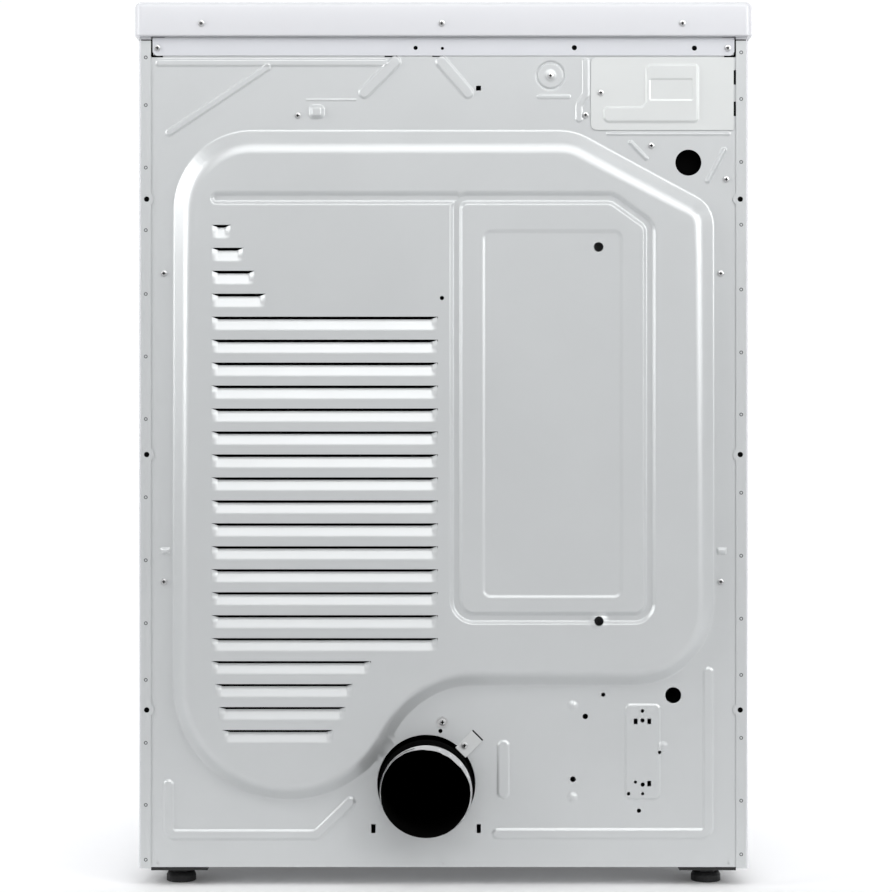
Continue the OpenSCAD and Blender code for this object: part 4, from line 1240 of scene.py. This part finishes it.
def make_drum_wall():
    """The drum's wall, with its turned-in ends and rolled beads."""
    f, b = DRUM_FRONT, DRUM_REAR
    lip_f, lip_b = 232.0, 292.0
    beads = [(rise, centre + step) for centre in DRUM_BEADS
             for step, rise in ((-7, 0), (-4, 1.2), (0, 2.2), (4, 1.2), (7, 0))]
    wall = [(lip_f, f + 3), (lip_f + 1, f + 3), (lip_f + 1, f + 11), (DRUM_R - 3, f + 11),
            (DRUM_R, f + 14)]
    wall += [(DRUM_R - rise, y) for rise, y in beads]
    wall += [(DRUM_R, b - 3), (DRUM_R - 3, b), (lip_b + 1, b), (lip_b + 1, b + 8), (lip_b, b + 8),
             (lip_b, b - 1), (DRUM_R - 3.5, b - 1), (DRUM_R - 1, b - 3.5)]
    wall += [(DRUM_R - 1 - rise, y) for rise, y in beads[::-1]]
    wall += [(DRUM_R - 1, f + 14.5), (DRUM_R - 3.5, f + 12), (lip_f, f + 12)]
    turned("drum_wall", DRUM_AXIS, wall, count=180, body="drum", slot="stainless",
           replaces=["drum_shell"])


def make_perforations():
    """Staggered rows of small holes on the drum's inside, clear of the baffles, drawn as flat
    near-black patches of painted shade.
    """
    rows, columns, radius, corners, reach = 11, 54, 2.4, 8, DRUM_R - 1.15
    verts, faces = [], []
    for row in range(rows):
        for column in range(columns):
            angle = 2 * math.pi * (column + 0.5 * (row % 2)) / columns
            if abs((math.degrees(angle) - 90 + 60) % 120 - 60) < 9:
                continue
            faces.append(list(range(len(verts), len(verts) + corners)))
            for k in range(corners):
                turn = 2 * math.pi * k / corners
                swing = angle + radius * math.cos(turn) / DRUM_R
                verts.append((reach * math.cos(swing), row * 19 - 95 + radius * math.sin(turn),
                              DRUM_Z + reach * math.sin(swing)))
    add_piece("drum_perforations", verts, faces, body="drum", slot="stainless",
              material="dark_inside")


def make_baffle(index):
    """A vane whose crest drops to the wall at both ends."""
    turn = math.radians(90 - index * 360 / BAFFLES)
    out = np.array([math.cos(turn), math.sin(turn)])
    across = np.array([-out[1], out[0]])
    half_foot, half_crest, crest = 31.0, 12.0, 40.0
    profile = rounded([(-half_foot, 0, 0), (-half_crest, crest, 7), (half_crest, crest, 7),
                       (half_foot, 0, 0)], closed=False, steps=6)
    base = DRUM_R - 2.5
    sections = []
    for y, share in ((-227, 0.05), (-224, 0.45), (-215, 0.8), (-200, 0.97), (-185, 1), (230, 1),
                     (248, 0.97), (260, 0.8), (267, 0.45), (270, 0.05)):
        section = []
        for w, rise in profile:
            w *= 0.85 + 0.15 * share
            reach = min(base - rise * share, math.sqrt((DRUM_R - 1.1) ** 2 - w ** 2))
            x, z = out * reach + across * w
            section.append((x, y, DRUM_Z + z))
        sections.append(section)
    loft("drum_baffle_%d" % index, sections, body="drum", slot="stainless")


# ---- the stage ----

FLOOR_HALF = 6.0
FLOOR_AHEAD = (0.90, 0.90, 0.905)
FLOOR_NEAR = (0.50, 0.50, 0.505)
FLOOR_GLOW = 0.50


def dress_frame():
    slots = {s["node"]: s["material_slot"] for s in frame["record"]["subparts"]}
    for name, piece in frame["nodes"].items():
        piece.data.materials.clear()
        piece.data.materials.append(materials[slots[name]])


def make_floor():
    """A plain pale floor: a little darker on the photographer's side, and aglow on the far side."""
    s = FLOOR_HALF
    mesh = bpy.data.meshes.new("studio_floor")
    mesh.from_pydata([(-s, -s, 0), (s, -s, 0), (s, s, 0), (-s, s, 0)], [], [(0, 1, 2, 3)])
    floor = bpy.data.objects.new("studio_floor", mesh)
    scene.collection.objects.link(floor)
    material, tree = new_material("floor_white")
    y = along_y(tree, "Object")
    tone = tinted(tree, mapped(tree, y, 0, 1, 0.3, 0.9), FLOOR_AHEAD, FLOOR_NEAR, 0.0, 1.0)
    feed(tree.nodes["Principled BSDF"], Base_Color=tone, Roughness=0.7,
         Emission_Color=(1, 1, 1, 1),
         Emission_Strength=mapped(tree, y, FLOOR_GLOW, 0.0, -1.0, 0.45))
    mesh.materials.append(material)


make_camera()
make_lights()
make_world()
dress_frame()
make_floor()
make_rear_panel()
make_dark_liners()
make_rear_brace()
make_terminal_cover()
make_top_panel()
for side in (-1, 1):
    make_side_panel(side)
make_front_panel()
make_fascia()
make_knob_marks()
make_display()
make_buttons()
make_knob()
make_door()
make_drum_wall()
make_perforations()
for k in range(BAFFLES):
    make_baffle(k)
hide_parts("drum_baffles")
make_rear_screws()
make_exhaust()
make_exhaust_clip()
for side in (-1, 1):
    make_foot(side, FRONT_FOOT_Y, "front_%s_foot" % side_name(side))
    make_foot(side, REAR_FOOT_Y, "rear_%s_foot" % side_name(side))
